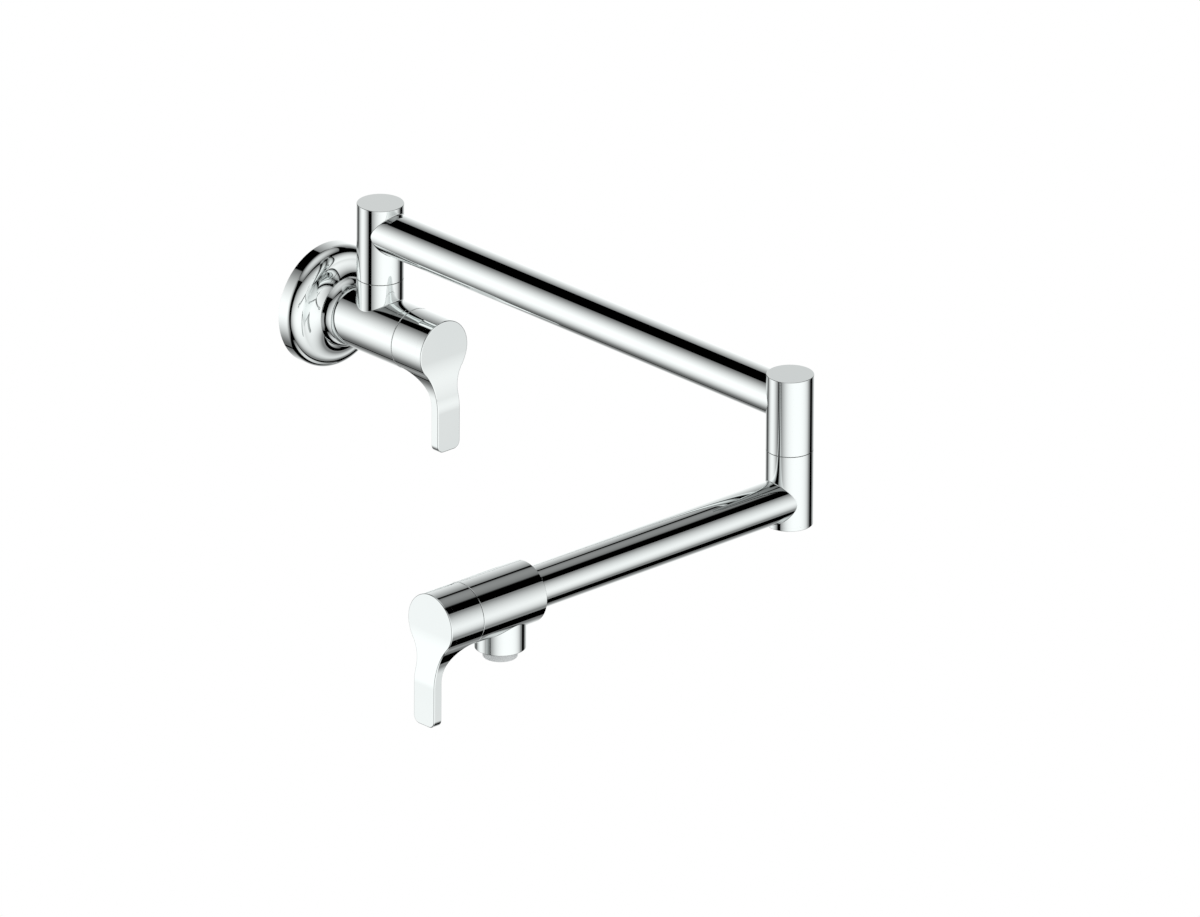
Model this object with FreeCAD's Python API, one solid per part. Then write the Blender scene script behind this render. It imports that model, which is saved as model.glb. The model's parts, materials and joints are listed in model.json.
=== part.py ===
# Wall mounted pot filler: two swivel joints, two arms and two quarter-turn valves.
#
# Millimetres, +Z up. The wall is the plane Y = 0 and the pot filler stands out of it towards -Y.
# The origin is the centre of the wall flange's back face, on the axis of the wall valve.
# At rest the upper arm points straight out of the wall (-Y), the lower arm folds back to the left
# of it (-X), and both levers hang straight down, which shuts the water off.
import FreeCAD, Part
import math
import os

Vector = FreeCAD.Vector

# ---- Reach and heights ---------------------------------------------------------------------
wall_to_post = 42.7          # wall to the axis of the wall post
upper_arm_span = 318.0       # axis of the wall post to the axis of the elbow post
lower_arm_span = 207.5       # axis of the elbow post to the axis of the spout
arm_rise = 55.0              # axis of the lower arm up to the axis of the upper arm
post_crown = 15.0            # axis of an arm to the closed end of the post that carries it
seam_height = 27.5           # axis of the lower arm up to the swivel seam in both posts

# ---- Posts and arms ------------------------------------------------------------------------
post_diameter = 25.4
arm_diameter = 23.2
arm_wall = 1.5
cap_thickness = 2.0          # plug that closes the end of a turning post
cap_plug_depth = 4.0
water_bore = 12.0            # water way through the fixed halves of the posts
port_bore = 14.0             # hole in a post's side, into its arm

# ---- Swivel joint, measured along the post from its seam -------------------------------------
seam_gap = 0.3
spigot_diameter = 16.0       # journal that the turning post runs on
spigot_thread = 18.0
spigot_seat_depth = 14.0     # threaded length in the fixed post
spigot_length = 18.0         # journal above the seam
spigot_bore = 10.4
journal_length = 14.5        # bearing bore of the turning post
chamber_bore = 20.0          # water chamber above the bearing
washer_depth = 1.5           # counterbore in the fixed post
washer_diameter = 22.0
clip_thickness = 1.0
clip_groove_depth = 0.9
clip_diameter = 19.0
clip_opening = 6.0
swivel_ring_cord = 1.6       # thickness of an O-ring
swivel_ring_places = (5.0, 9.5)

# ---- Wall side -----------------------------------------------------------------------------
flange_diameter = 68.0
flange_wall = 1.7
rim_depth = 6.0               # straight side of the rim
rim_round = 6.7               # quarter round from the side of the rim to the flange's crest
cove_round = 12.5             # hollow that runs from the crest in under the collar
neck_diameter = 37.0
collar_diameter = 39.7
collar_back_depth = 17.6      # wall to the back of the collar, which stands out over the neck
collar_edge = 0.35
collar_bevel_depth = 19.6     # wall to where the bevelled side runs into the rounded nose
collar_bevel = 17.0           # lean of the collar's side, in degrees
collar_nose = 7.7             # rounding of the collar's front
collar_lip = 0.2
collar_seal_cord = 1.1
collar_seal_depth = 19.2
plate_diameter = 60.0
plate_thickness = 2.5
plate_boss_diameter = 40.0
plate_boss_depth = 12.0      # wall to the front of the boss, where the valve body's shoulder seats
screw_circle = 50.0
screw_hole = 4.8
screw_count = 3
nipple_hole = 24.0           # way for the supply pipe through the plate
body_spigot_diameter = 30.0  # back end of the valve body, inside the boss
grub_diameter = 5.0
grub_depth = 7.5             # wall to the axis of the two grub screws in the boss
inlet_bore = 18.3            # half-inch pipe thread, at its minor diameter
inlet_length = 16.0

# ---- Valves, measured along the valve axis from the post or spout axis towards the handle ----
valve_diameter = 34.0
handle_seam = 27.0           # joint between the valve body and the handle
outlet_tail = 17.75          # outlet valve body behind the spout axis
arm_socket_depth = 4.0
cartridge_seat = -12.0       # bottom of the cartridge chamber
cartridge_diameter = 18.0
cartridge_thread = 21.0
cartridge_thread_start = 17.5
cartridge_hex = 24.0         # across flats
cartridge_hex_length = 5.0
gland_diameter = 15.0
gland_length = 3.0
valve_passage = 13.0
seat_seal_thickness = 1.6
seat_seal_bore = 11.0
disc_thickness = 3.0
disc_port_span = 70.0        # angle of each of the two ports in a disc, in degrees
disc_port_inner = 2.8
disc_rim = 1.6               # disc edge to the outer side of its ports
tongue_width = 4.4           # bar on the spindle that turns the upper disc
tongue_length = 14.4
tongue_depth = 1.0           # how far it reaches into the disc's slot
window_width = 9.0
window_length = 8.5
spindle_plug_diameter = 15.4
spindle_neck_diameter = 8.0
spindle_shaft_diameter = 9.0
spindle_plug_start = 9.0
spindle_plug_end = 20.0
spindle_ring_cord = 1.5
spindle_ring_place = 14.0
spline_root_diameter = 7.2
spline_diameter = 8.0
spline_teeth = 20
spline_length = 9.0

# ---- Handle --------------------------------------------------------------------------------
handle_face = 50.2           # front face of the hub
hub_cavity_diameter = 28.4
hub_cavity_depth = 9.4
hub_front_wall = 4.2
lever_length = 56.0          # valve axis to the end of the paddle
paddle_width = 15.9
paddle_thickness = 5.2
paddle_offset = 4.1          # paddle face in front of the hub's face
paddle_corner = 4.2
neck_radius = 21.9           # hollow curve from the hub's circle into the paddle's side
bend_start = 3.7             # below the valve axis, where the front face leaves the flat
bend_long = 22.0             # length of the large curve, along the lever
bend_short = 7.7             # length of the small curve that brings the paddle back upright
web_foot = 30.9              # below the valve axis, where the web leaves the back of the paddle
web_low_radius = 14.0        # hollow curve behind the lever, next to the paddle
web_low_turn = 37.4          # degrees of that curve, before the larger one up to the seam
web_high_radius = 26.7
lever_edge = 0.6             # rounding of the lever's front edge
handle_grub_diameter = 4.0
handle_grub_length = 6.0

# ---- Spout ---------------------------------------------------------------------------------
spout_diameter = 27.4
spout_drop = 26.4            # axis of the lower arm down to the collar's lower edge
spout_thread = 21.0
spout_thread_top = 11.0
spout_passage = 12.0
aerator_diameter = 18.5
aerator_reach = 5.4          # how far the aerator stands out of the collar
aerator_insert = 6.4         # how far it goes in
aerator_mouth = 15.2
aerator_mouth_depth = 4.6
aerator_edge = 0.7
plate_height = 2.4           # drilled plate across the aerator
plate_hole = 2.0
plate_hole_rows = ((0.0, 1), (2.7, 6), (5.4, 12))   # ring radius and number of holes
mesh_thickness = 0.6
aerator_seal_thickness = 1.6
aerator_seal_bore = 12.0

# ---- Clearances ----------------------------------------------------------------------------
running = 0.1                # shaft in its bearing
thread_gap = 0.1             # between two threaded pieces
loose = 0.15                 # between pieces that only pass through each other
seat_gap = 0.05              # brazed or stacked faces

post_radius = post_diameter / 2
arm_radius = arm_diameter / 2
valve_radius = valve_diameter / 2
elbow_out = wall_to_post + upper_arm_span
turning_post_end = arm_rise + post_crown - seam_height   # seam to the closed end of a turning post
turning_arm_place = arm_rise - seam_height               # seam to the axis of the arm on it
fixed_post_end = post_crown + seam_height                # the same for the elbow's fixed post
fixed_arm_place = seam_height

X_AXIS = Vector(1, 0, 0)
Y_AXIS = Vector(0, 1, 0)
Z_AXIS = Vector(0, 0, 1)


def frame(origin, across, up, along):
    """Place of a sub-assembly: its own X, Y and Z axes run across, up and along."""
    return FreeCAD.Placement(origin, FreeCAD.Rotation(across, up, along, "ZYX"))


WALL = frame(Vector(0, 0, 0), X_AXIS, Z_AXIS, -Y_AXIS)
WALL_VALVE = frame(Vector(0, -wall_to_post, 0), X_AXIS, Z_AXIS, -Y_AXIS)
OUTLET_VALVE = frame(Vector(-lower_arm_span, -elbow_out, 0), -Y_AXIS, Z_AXIS, -X_AXIS)
WALL_SWIVEL = frame(Vector(0, -wall_to_post, seam_height), X_AXIS, Y_AXIS, Z_AXIS)
ELBOW_SWIVEL = frame(Vector(0, -elbow_out, arm_rise - seam_height), X_AXIS, -Y_AXIS, -Z_AXIS)
SPOUT = frame(Vector(-lower_arm_span, -elbow_out, 0), X_AXIS, -Y_AXIS, -Z_AXIS)


def placed(shape, where):
    moved = shape.copy()
    moved.Placement = where.multiply(moved.Placement)
    return moved


# ---- Basic forms ---------------------------------------------------------------------------
def outline(start, *steps):
    """Closed wire in the X-Z plane. A step is an end point, or a pair: point on the arc, end."""
    points = [start]
    edges = []
    for step in steps + (start,):
        is_arc = isinstance(step[0], tuple)
        end = step[1] if is_arc else step
        first = Vector(points[-1][0], 0, points[-1][1])
        last = Vector(end[0], 0, end[1])
        if first.distanceToPoint(last) > 1e-6:
            if is_arc:
                middle = Vector(step[0][0], 0, step[0][1])
                edges.append(Part.Arc(first, middle, last).toShape())
            else:
                edges.append(Part.LineSegment(first, last).toShape())
        points.append(end)
    return Part.Wire(edges)


def turned(start, *steps):
    """Solid of revolution about the local Z axis; points are (radius, height)."""
    face = Part.Face(outline(start, *steps))
    return face.revolve(Vector(0, 0, 0), Z_AXIS, 360)


def rod(diameter, low, high):
    """Round bar along the local Z axis."""
    return Part.makeCylinder(diameter / 2, high - low, Vector(0, 0, low))


def pipe(outer, inner, low, high):
    """Round tube along the local Z axis."""
    return rod(outer, low, high).cut(rod(inner, low - 1, high + 1))


def cross_hole(diameter, height, direction, start, end):
    """Round bar square to the local Z axis, at a height, between two distances from the axis."""
    base = Vector(direction).multiply(start) + Vector(0, 0, height)
    return Part.makeCylinder(diameter / 2, end - start, base, direction)


def hexagon(across_flats, low, high):
    corner = across_flats / math.sqrt(3)
    angles = [math.radians(60 * i) for i in range(7)]
    corners = [Vector(corner * math.cos(a), corner * math.sin(a), low) for a in angles]
    return Part.Face(Part.makePolygon(corners)).extrude(Vector(0, 0, high - low))


def o_ring(middle_radius, cord, height):
    return Part.makeTorus(middle_radius, cord / 2, Vector(0, 0, height), Z_AXIS)


def arc_point(centre, radius, degrees):
    angle = math.radians(degrees)
    return (centre[0] + radius * math.cos(angle), centre[1] + radius * math.sin(angle))


# ---- Wall flange and mounting plate ----------------------------------------------------------
def flange_section(inset, inner_radius):
    """Side of the rim, quarter round and hollow, all set in by one amount, down to a radius."""
    rim = flange_diameter / 2 - inset
    crest = flange_diameter / 2 - rim_round
    round_centre = (crest, rim_depth)
    cove_centre = (crest, rim_depth + rim_round + cove_round)
    turn = math.degrees(math.asin((crest - inner_radius) / (cove_round + inset)))
    return (
        (rim, 0.0),
        (rim, rim_depth),
        (arc_point(round_centre, rim_round - inset, 45), (crest, rim_depth + rim_round - inset)),
        (
            arc_point(cove_centre, cove_round + inset, -90 - turn / 2),
            arc_point(cove_centre, cove_round + inset, -90 - turn),
        ),
    )


def wall_flange():
    bore = valve_radius + loose
    collar = collar_diameter / 2
    bevel = math.radians(collar_bevel)
    straight = collar_bevel_depth - collar_back_depth - collar_edge
    shoulder = collar - straight * math.tan(bevel)
    nose_centre = (
        shoulder - collar_nose * math.cos(bevel),
        collar_bevel_depth - collar_nose * math.sin(bevel),
    )
    nose_end = math.degrees(math.acos((bore + collar_lip - nose_centre[0]) / collar_nose))
    front = arc_point(nose_centre, collar_nose, nose_end)
    edge_centre = (collar - collar_edge, collar_back_depth + collar_edge)
    seal_groove = valve_radius + collar_seal_cord + loose
    groove_half = collar_seal_cord / 2 + loose
    chamber = plate_boss_diameter / 2 + loose
    outside = flange_section(0.0, neck_diameter / 2)
    inside = flange_section(flange_wall, chamber)
    ceiling = inside[3][1][1]
    return turned(
        *outside,
        (neck_diameter / 2, collar_back_depth),
        (collar - collar_edge, collar_back_depth),
        (arc_point(edge_centre, collar_edge, -45), (collar, collar_back_depth + collar_edge)),
        (shoulder, collar_bevel_depth),
        (arc_point(nose_centre, collar_nose, (collar_bevel + nose_end) / 2), front),
        (bore, front[1]),
        (bore, collar_seal_depth + groove_half),
        (seal_groove, collar_seal_depth + groove_half),
        (seal_groove, collar_seal_depth - groove_half),
        (bore, collar_seal_depth - groove_half),
        (bore, ceiling),
        (chamber, ceiling),
        (inside[3][0], inside[2][1]),
        (inside[2][0], inside[1]),
        inside[0],
    )


def flange_seal():
    return o_ring(valve_radius + seat_gap + collar_seal_cord / 2, collar_seal_cord, collar_seal_depth)


def mounting_plate():
    plate = rod(plate_diameter, 0, plate_thickness)
    plate = plate.fuse(rod(plate_boss_diameter, 0, plate_boss_depth))
    plate = plate.cut(rod(nipple_hole, -1, plate_boss_depth + 1))
    plate = plate.cut(rod(body_spigot_diameter + 2 * loose, plate_thickness, plate_boss_depth + 1))
    for index in range(screw_count):
        angle = math.radians(90 + 360 * index / screw_count)
        centre = Vector(screw_circle / 2 * math.cos(angle), screw_circle / 2 * math.sin(angle), -1)
        plate = plate.cut(Part.makeCylinder(screw_hole / 2, plate_thickness + 2, centre))
    reach = plate_boss_diameter / 2 + 1
    for direction in (X_AXIS, -X_AXIS):
        plate = plate.cut(cross_hole(grub_diameter + 2 * thread_gap, grub_depth, direction, 0, reach))
    return plate.removeSplitter()


def grub_screw(diameter, height, direction, tip, length):
    """Headless screw that points at the axis, with its hexagon socket outwards."""
    screw = cross_hole(diameter, height, direction, tip, tip + length)
    socket = hexagon(diameter / 2, 0, length / 2 + 1)
    turn = FreeCAD.Rotation(Z_AXIS, direction)
    mouth = Vector(direction).multiply(tip + length / 2) + Vector(0, 0, height)
    return screw.cut(placed(socket, FreeCAD.Placement(mouth, turn)))


def body_grub_screws():
    tip = body_spigot_diameter / 2 + seat_gap
    length = plate_boss_diameter / 2 - tip - 0.3
    pair = [grub_screw(grub_diameter, grub_depth, way, tip, length) for way in (X_AXIS, -X_AXIS)]
    return Part.makeCompound(pair)


# ---- Swivel: a threaded spigot in the fixed post, and the turning post that runs on it -------
def socket_for_spigot():
    """Everything that is cut out of a fixed post at its seam."""
    top = -seam_gap / 2
    shelf = top - washer_depth
    cut = rod(washer_diameter + 2 * loose, shelf, top + 1)
    return cut.fuse(rod(spigot_thread + 2 * thread_gap, shelf - spigot_seat_depth, top + 1))


def swivel_spigot():
    shelf = -seam_gap / 2 - washer_depth
    body = rod(spigot_thread, shelf - spigot_seat_depth, shelf)
    body = body.fuse(rod(spigot_diameter, shelf, spigot_length))
    body = body.cut(rod(spigot_bore, shelf - spigot_seat_depth - 1, spigot_length + 1))
    ring_half = swivel_ring_cord / 2 + loose
    ring_floor = spigot_diameter - 2 * (swivel_ring_cord - running) - 2 * seat_gap
    for place in swivel_ring_places:
        body = body.cut(pipe(spigot_diameter + 2, ring_floor, place - ring_half, place + ring_half))
    clip_low = journal_length + loose
    clip_floor = spigot_diameter - 2 * clip_groove_depth
    clip_high = clip_low + clip_thickness + 2 * seat_gap
    body = body.cut(pipe(spigot_diameter + 2, clip_floor, clip_low, clip_high))
    return body.removeSplitter()


def swivel_rings():
    middle = (spigot_diameter + 2 * running) / 2 - seat_gap / 2 - swivel_ring_cord / 2
    return Part.makeCompound([o_ring(middle, swivel_ring_cord, z) for z in swivel_ring_places])


def thrust_washer():
    low = -seam_gap / 2 - washer_depth
    return pipe(washer_diameter, spigot_diameter + 2 * loose, low, seam_gap / 2 - seat_gap)


def retaining_clip():
    low = journal_length + loose + seat_gap
    floor = spigot_diameter - 2 * clip_groove_depth + 2 * seat_gap
    ring = pipe(clip_diameter, floor, low, low + clip_thickness)
    notch = Part.makeBox(clip_diameter, clip_opening, clip_thickness + 2,
                         Vector(0, -clip_opening / 2, low - 1))
    return ring.cut(notch)


def turning_post(port_direction):
    low = seam_gap / 2
    high = turning_post_end - cap_thickness
    post = rod(post_diameter, low, high)
    post = post.cut(rod(spigot_diameter + 2 * running, low - 1, journal_length + 1))
    post = post.cut(rod(chamber_bore, journal_length, high + 1))
    return post.cut(cross_hole(port_bore, turning_arm_place, port_direction, 0, post_radius + 1))


def post_cap():
    low = turning_post_end - cap_thickness
    plug = rod(chamber_bore - 2 * thread_gap, low - cap_plug_depth, low)
    return rod(post_diameter, low, turning_post_end).fuse(plug)


def elbow_fixed_post():
    """Upper half of the elbow post, on the end of the upper arm."""
    post = rod(post_diameter, -fixed_post_end, -seam_gap / 2)
    post = post.cut(socket_for_spigot())
    post = post.cut(rod(water_bore, -fixed_arm_place - water_bore / 2, 0))
    return post.cut(cross_hole(port_bore, -fixed_arm_place, -Y_AXIS, 0, post_radius + 1))


# ---- Arms ------------------------------------------------------------------------------------
def upper_arm_tube():
    """Tube between the wall post and the elbow post, its ends cut to sit on both posts."""
    start = Vector(0, -wall_to_post, arm_rise)
    tube = Part.makeCylinder(arm_radius, upper_arm_span, start, -Y_AXIS)
    tube = tube.cut(Part.makeCylinder(arm_radius - arm_wall, upper_arm_span, start, -Y_AXIS))
    for out in (wall_to_post, elbow_out):
        base = Vector(0, -out, arm_rise - post_diameter)
        tube = tube.cut(Part.makeCylinder(post_radius + seat_gap, 2 * post_diameter, base))
    return tube


def lower_arm_tube():
    """Tube from the elbow post into the socket at the back of the outlet valve."""
    length = lower_arm_span - outlet_tail + arm_socket_depth - seat_gap
    start = Vector(0, -elbow_out, 0)
    tube = Part.makeCylinder(arm_radius, length, start, -X_AXIS)
    tube = tube.cut(Part.makeCylinder(arm_radius - arm_wall, length, start, -X_AXIS))
    base = Vector(0, -elbow_out, -post_diameter)
    return tube.cut(Part.makeCylinder(post_radius + seat_gap, 2 * post_diameter, base))


# ---- Valves ------------------------------------------------------------------------------------
def cartridge_chamber():
    """Everything that is cut out of a valve body for its cartridge."""
    cut = rod(cartridge_diameter + 2 * loose, cartridge_seat, handle_seam + 1)
    thread = rod(cartridge_thread + 2 * thread_gap, cartridge_thread_start, handle_seam + 1)
    return cut.fuse(thread)


def wall_valve_body():
    """Valve body with the fixed half of the wall post on top of it."""
    shoulder = plate_boss_depth - wall_to_post
    back = plate_thickness + seat_gap - wall_to_post
    body = rod(valve_diameter, shoulder, handle_seam)
    body = body.fuse(rod(body_spigot_diameter, back, shoulder))
    stub = Part.makeCylinder(post_radius, seam_height - seam_gap / 2, Vector(0, 0, 0), Y_AXIS)
    body = body.fuse(stub)
    body = body.cut(rod(inlet_bore, back - 1, back + inlet_length))
    body = body.cut(rod(valve_passage, back, cartridge_seat + 1))
    body = body.cut(cartridge_chamber())
    body = body.cut(cross_hole(water_bore, 0, Y_AXIS, 0, seam_height))
    socket = placed(socket_for_spigot(), WALL_VALVE.inverse().multiply(WALL_SWIVEL))
    return body.cut(socket).removeSplitter()


def outlet_valve_body():
    body = rod(valve_diameter, -outlet_tail, handle_seam)
    body = body.cut(rod(arm_diameter + 2 * seat_gap, -outlet_tail - 1, arm_socket_depth - outlet_tail))
    body = body.cut(rod(valve_passage, -outlet_tail, cartridge_seat + 1))
    body = body.cut(cartridge_chamber())
    nipple_hole_diameter = spout_thread + 2 * thread_gap
    body = body.cut(cross_hole(nipple_hole_diameter, 0, -Y_AXIS, spout_thread_top, valve_radius + 1))
    return body.cut(cross_hole(spout_passage, 0, -Y_AXIS, 0, valve_radius)).removeSplitter()


def seat_seal():
    return pipe(cartridge_diameter, seat_seal_bore, cartridge_seat, cartridge_seat + seat_seal_thickness)


def cartridge_floor():
    return cartridge_seat + seat_seal_thickness


def cartridge_shell():
    """Brass cartridge: windows in its side, a thread, a hexagon and the gland for the spindle."""
    low = cartridge_floor()
    hex_top = handle_seam + cartridge_hex_length
    top = hex_top + gland_length
    shell = rod(cartridge_diameter, low, handle_seam)
    shell = shell.fuse(rod(cartridge_thread, cartridge_thread_start + seat_gap, handle_seam))
    shell = shell.fuse(hexagon(cartridge_hex, handle_seam, hex_top))
    shell = shell.fuse(rod(gland_diameter, handle_seam, top))
    shell = shell.cut(rod(spindle_plug_diameter + 2 * running, low - 1, spindle_plug_end + 2 * seat_gap))
    shell = shell.cut(rod(spindle_shaft_diameter + 2 * running, low, top + 1))
    window_low = low + 2 * disc_thickness + 0.6
    window = Part.makeBox(window_width, 2 * cartridge_diameter, window_length,
                          Vector(-window_width / 2, -cartridge_diameter, window_low))
    return shell.cut(window).removeSplitter()


def ceramic_disc(low, turn):
    """Flat disc with two ports; two such discs shut when their ports are a quarter turn apart."""
    radius = spindle_plug_diameter / 2
    disc = rod(spindle_plug_diameter, low, low + disc_thickness)
    outer = radius - disc_rim
    for middle in (turn, turn + 180):
        first = middle - disc_port_span / 2
        last = middle + disc_port_span / 2
        ring = []
        for span, reach in (((first, middle, last), outer), ((last, middle, first), disc_port_inner)):
            corners = [Vector(*arc_point((0, 0), reach, angle), low - 1) for angle in span]
            ring.append(corners)
        port = Part.Wire([
            Part.Arc(*ring[0]).toShape(),
            Part.LineSegment(ring[0][2], ring[1][0]).toShape(),
            Part.Arc(*ring[1]).toShape(),
            Part.LineSegment(ring[1][2], ring[0][0]).toShape(),
        ])
        disc = disc.cut(Part.Face(port).extrude(Vector(0, 0, disc_thickness + 2)))
    return disc


def fixed_disc():
    return ceramic_disc(cartridge_floor(), 0)


def tongue(low, high, allowance):
    width = tongue_width + 2 * allowance
    length = tongue_length + 2 * allowance
    return Part.makeBox(length, width, high - low, Vector(-length / 2, -width / 2, low))


def turning_disc():
    low = cartridge_floor() + disc_thickness + seat_gap
    top = low + disc_thickness
    disc = ceramic_disc(low, 90)
    return disc.cut(tongue(top - tongue_depth, top + 1, seat_gap)).removeSplitter()


def spindle():
    """Spindle: a tongue in the turning disc, a sealed plug, a shaft and a splined end."""
    disc_top = cartridge_floor() + 2 * disc_thickness + seat_gap
    shaft_top = handle_seam + hub_cavity_depth
    bar = tongue(disc_top - tongue_depth + seat_gap, disc_top + tongue_width / 2, 0)
    body = bar.common(rod(spindle_plug_diameter, disc_top - tongue_depth, spindle_plug_end))
    body = body.fuse(rod(spindle_neck_diameter, disc_top + seat_gap, spindle_plug_end))
    body = body.fuse(rod(spindle_plug_diameter, spindle_plug_start, spindle_plug_end))
    body = body.fuse(rod(spindle_shaft_diameter, spindle_plug_end, shaft_top - seat_gap))
    ring_half = spindle_ring_cord / 2 + loose
    ring_floor = spindle_plug_diameter - 2 * spindle_ring_cord
    groove = pipe(spindle_plug_diameter + 2, ring_floor, spindle_ring_place - ring_half,
                  spindle_ring_place + ring_half)
    spline = splined_end(shaft_top - seat_gap, shaft_top + spline_length)
    return body.cut(groove).fuse(spline).removeSplitter()


def splined_end(low, high):
    corners = []
    for index in range(2 * spline_teeth + 1):
        reach = (spline_diameter if index % 2 else spline_root_diameter) / 2
        corners.append(Vector(*arc_point((0, 0), reach, 180 * index / spline_teeth), low))
    return Part.Face(Part.makePolygon(corners)).extrude(Vector(0, 0, high - low))


def spindle_ring():
    middle = spindle_plug_diameter / 2 + running - seat_gap / 2 - spindle_ring_cord / 2
    return o_ring(middle, spindle_ring_cord, spindle_ring_place)


# ---- Handle ------------------------------------------------------------------------------------
def lever_front():
    """Front outline of hub and lever, as a bar along the valve axis.

    The hub's circle runs into a hollow arc on each side, and those arcs into the paddle's
    straight sides. Each arc touches both, so its centre follows from the radii.
    """
    half = paddle_width / 2
    neck_x = half + neck_radius
    neck_y = -math.sqrt((valve_radius + neck_radius) ** 2 - neck_x ** 2)
    share = valve_radius / (valve_radius + neck_radius)
    touch = (neck_x * share, neck_y * share)
    touch_angle = math.degrees(math.atan2(touch[1] - neck_y, touch[0] - neck_x))
    middle = arc_point((neck_x, neck_y), neck_radius, (touch_angle + 180) / 2)
    corner = (half - paddle_corner, -lever_length + paddle_corner)
    round_middle = arc_point(corner, paddle_corner, -45)

    def at(point, side=1):
        return Vector(side * point[0], point[1], 0)

    foot = (corner[0], -lever_length)
    edges = [
        Part.Arc(at(touch), Vector(0, valve_radius, 0), at(touch, -1)),
        Part.Arc(at(touch, -1), at(middle, -1), at((half, neck_y), -1)),
        Part.LineSegment(at((half, neck_y), -1), at((half, corner[1]), -1)),
        Part.Arc(at((half, corner[1]), -1), at(round_middle, -1), at(foot, -1)),
        Part.LineSegment(at(foot, -1), at(foot)),
        Part.Arc(at(foot), at(round_middle), at((half, corner[1]))),
        Part.LineSegment(at((half, corner[1])), at((half, neck_y))),
        Part.Arc(at((half, neck_y)), at(middle), at(touch)),
    ]
    face = Part.Face(Part.Wire([edge.toShape() for edge in edges]))
    bar = face.extrude(Vector(0, 0, handle_face + paddle_offset + 1 - handle_seam))
    return bar.translated(Vector(0, 0, handle_seam + seam_gap))


def lever_side():
    """Side outline of hub and lever, as a bar across the valve axis.

    The front leaves the hub's flat face on a large arc and comes upright again on a small one.
    The two arcs turn through the same angle, which follows from their lengths and the offset.
    The back is a hollow web of two arcs that run into each other: a small one that leaves the
    back of the paddle, and a large one up to the seam with the valve body.
    """
    turn = 2 * paddle_offset / (bend_long + bend_short)
    low_end = -lever_length - 1
    back = handle_face + paddle_offset - paddle_thickness
    face_end = handle_face + paddle_offset

    def front_point(run):
        if run <= bend_long:
            rise = turn * run * run / (2 * bend_long)
        else:
            left = bend_long + bend_short - run
            rise = paddle_offset - turn * left * left / (2 * bend_short)
        return (handle_face + rise, -bend_start - run)

    low_centre = (back - web_low_radius, -web_foot)
    high_centre = arc_point(low_centre, web_low_radius - web_high_radius, web_low_turn)
    rear = handle_seam + seam_gap
    high_turn = math.degrees(math.acos((rear - high_centre[0]) / web_high_radius))
    change = arc_point(low_centre, web_low_radius, web_low_turn)
    steps = [
        (handle_face, -bend_start),
        (front_point(bend_long / 2), front_point(bend_long)),
        (front_point(bend_long + bend_short / 2), front_point(bend_long + bend_short)),
        (face_end, low_end),
        (back, low_end),
        (back, -web_foot),
        (arc_point(low_centre, web_low_radius, web_low_turn / 2), change),
        (arc_point(high_centre, web_high_radius, (web_low_turn + high_turn) / 2),
         arc_point(high_centre, web_high_radius, high_turn)),
        (rear, valve_radius + 1),
    ]
    face = Part.Face(outline((handle_face, valve_radius + 1), *steps))
    bar = face.extrude(Vector(0, 2 * valve_diameter, 0))
    bar.translate(Vector(0, -valve_diameter, 0))
    return placed(bar, frame(Vector(0, 0, 0), Z_AXIS, X_AXIS, Y_AXIS))


def front_edges(solid):
    """Edges around the front of hub and lever, without the lines where the bend starts and ends."""
    chosen = []
    for edge in solid.Edges:
        ends = [vertex.Point for vertex in edge.Vertexes]
        in_front = min(point.z for point in ends) > handle_face - 0.01
        across = len(ends) == 2 and abs(ends[0].y - ends[1].y) < 0.01 and ends[0].y > -lever_length + 0.1
        if in_front and not across:
            chosen.append(edge)
    return chosen


def handle():
    """Hub and lever in one piece: the front outline and the side outline cut to each other."""
    seam = handle_seam + seam_gap
    solid = lever_front().common(lever_side()).removeSplitter()
    solid = solid.makeFillet(lever_edge, front_edges(solid))
    solid = solid.fuse(rod(valve_diameter, seam, handle_face - hub_front_wall)).removeSplitter()
    cavity_top = handle_seam + hub_cavity_depth
    solid = solid.cut(rod(hub_cavity_diameter, seam - 1, cavity_top))
    solid = solid.cut(rod(spline_diameter + 2 * seat_gap, seam, handle_face - hub_front_wall))
    grub_place = cavity_top + handle_grub_diameter
    grub_hole = handle_grub_diameter + 2 * thread_gap
    return solid.cut(cross_hole(grub_hole, grub_place, -Y_AXIS, 0, 2 * valve_radius))


def handle_grub_screw():
    place = handle_seam + hub_cavity_depth + handle_grub_diameter
    tip = spline_diameter / 2 + seat_gap
    return grub_screw(handle_grub_diameter, place, -Y_AXIS, tip, handle_grub_length)


# ---- Spout and aerator (measured downwards from the lower arm's axis) ---------------------------
def spout_collar():
    """Sleeve that fits the underside of the outlet valve, with a threaded nipple inside it."""
    sleeve = rod(spout_diameter, valve_radius / 2, spout_drop)
    along_valve = Part.makeCylinder(valve_radius + seat_gap, 4 * valve_diameter,
                                    Vector(-2 * valve_diameter, 0, 0), X_AXIS)
    sleeve = sleeve.cut(along_valve)
    sleeve = sleeve.fuse(rod(spout_thread, spout_thread_top + seat_gap, spout_drop - 1))
    sleeve = sleeve.cut(rod(spout_passage, 0, spout_drop))
    seat = spout_drop - aerator_insert - aerator_seal_thickness
    return sleeve.cut(rod(aerator_diameter + 2 * loose, seat, spout_drop + 1)).removeSplitter()


def aerator_ring():
    """Pale ring that stands out of the collar."""
    top = spout_drop - aerator_insert
    low = spout_drop + aerator_reach
    radius = aerator_diameter / 2
    edge_centre = (radius - aerator_edge, low - aerator_edge)
    return turned(
        (aerator_mouth / 2, top),
        (radius, top),
        (radius, low - aerator_edge),
        (arc_point(edge_centre, aerator_edge, 45), (radius - aerator_edge, low)),
        (aerator_mouth / 2, low),
    )


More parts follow.
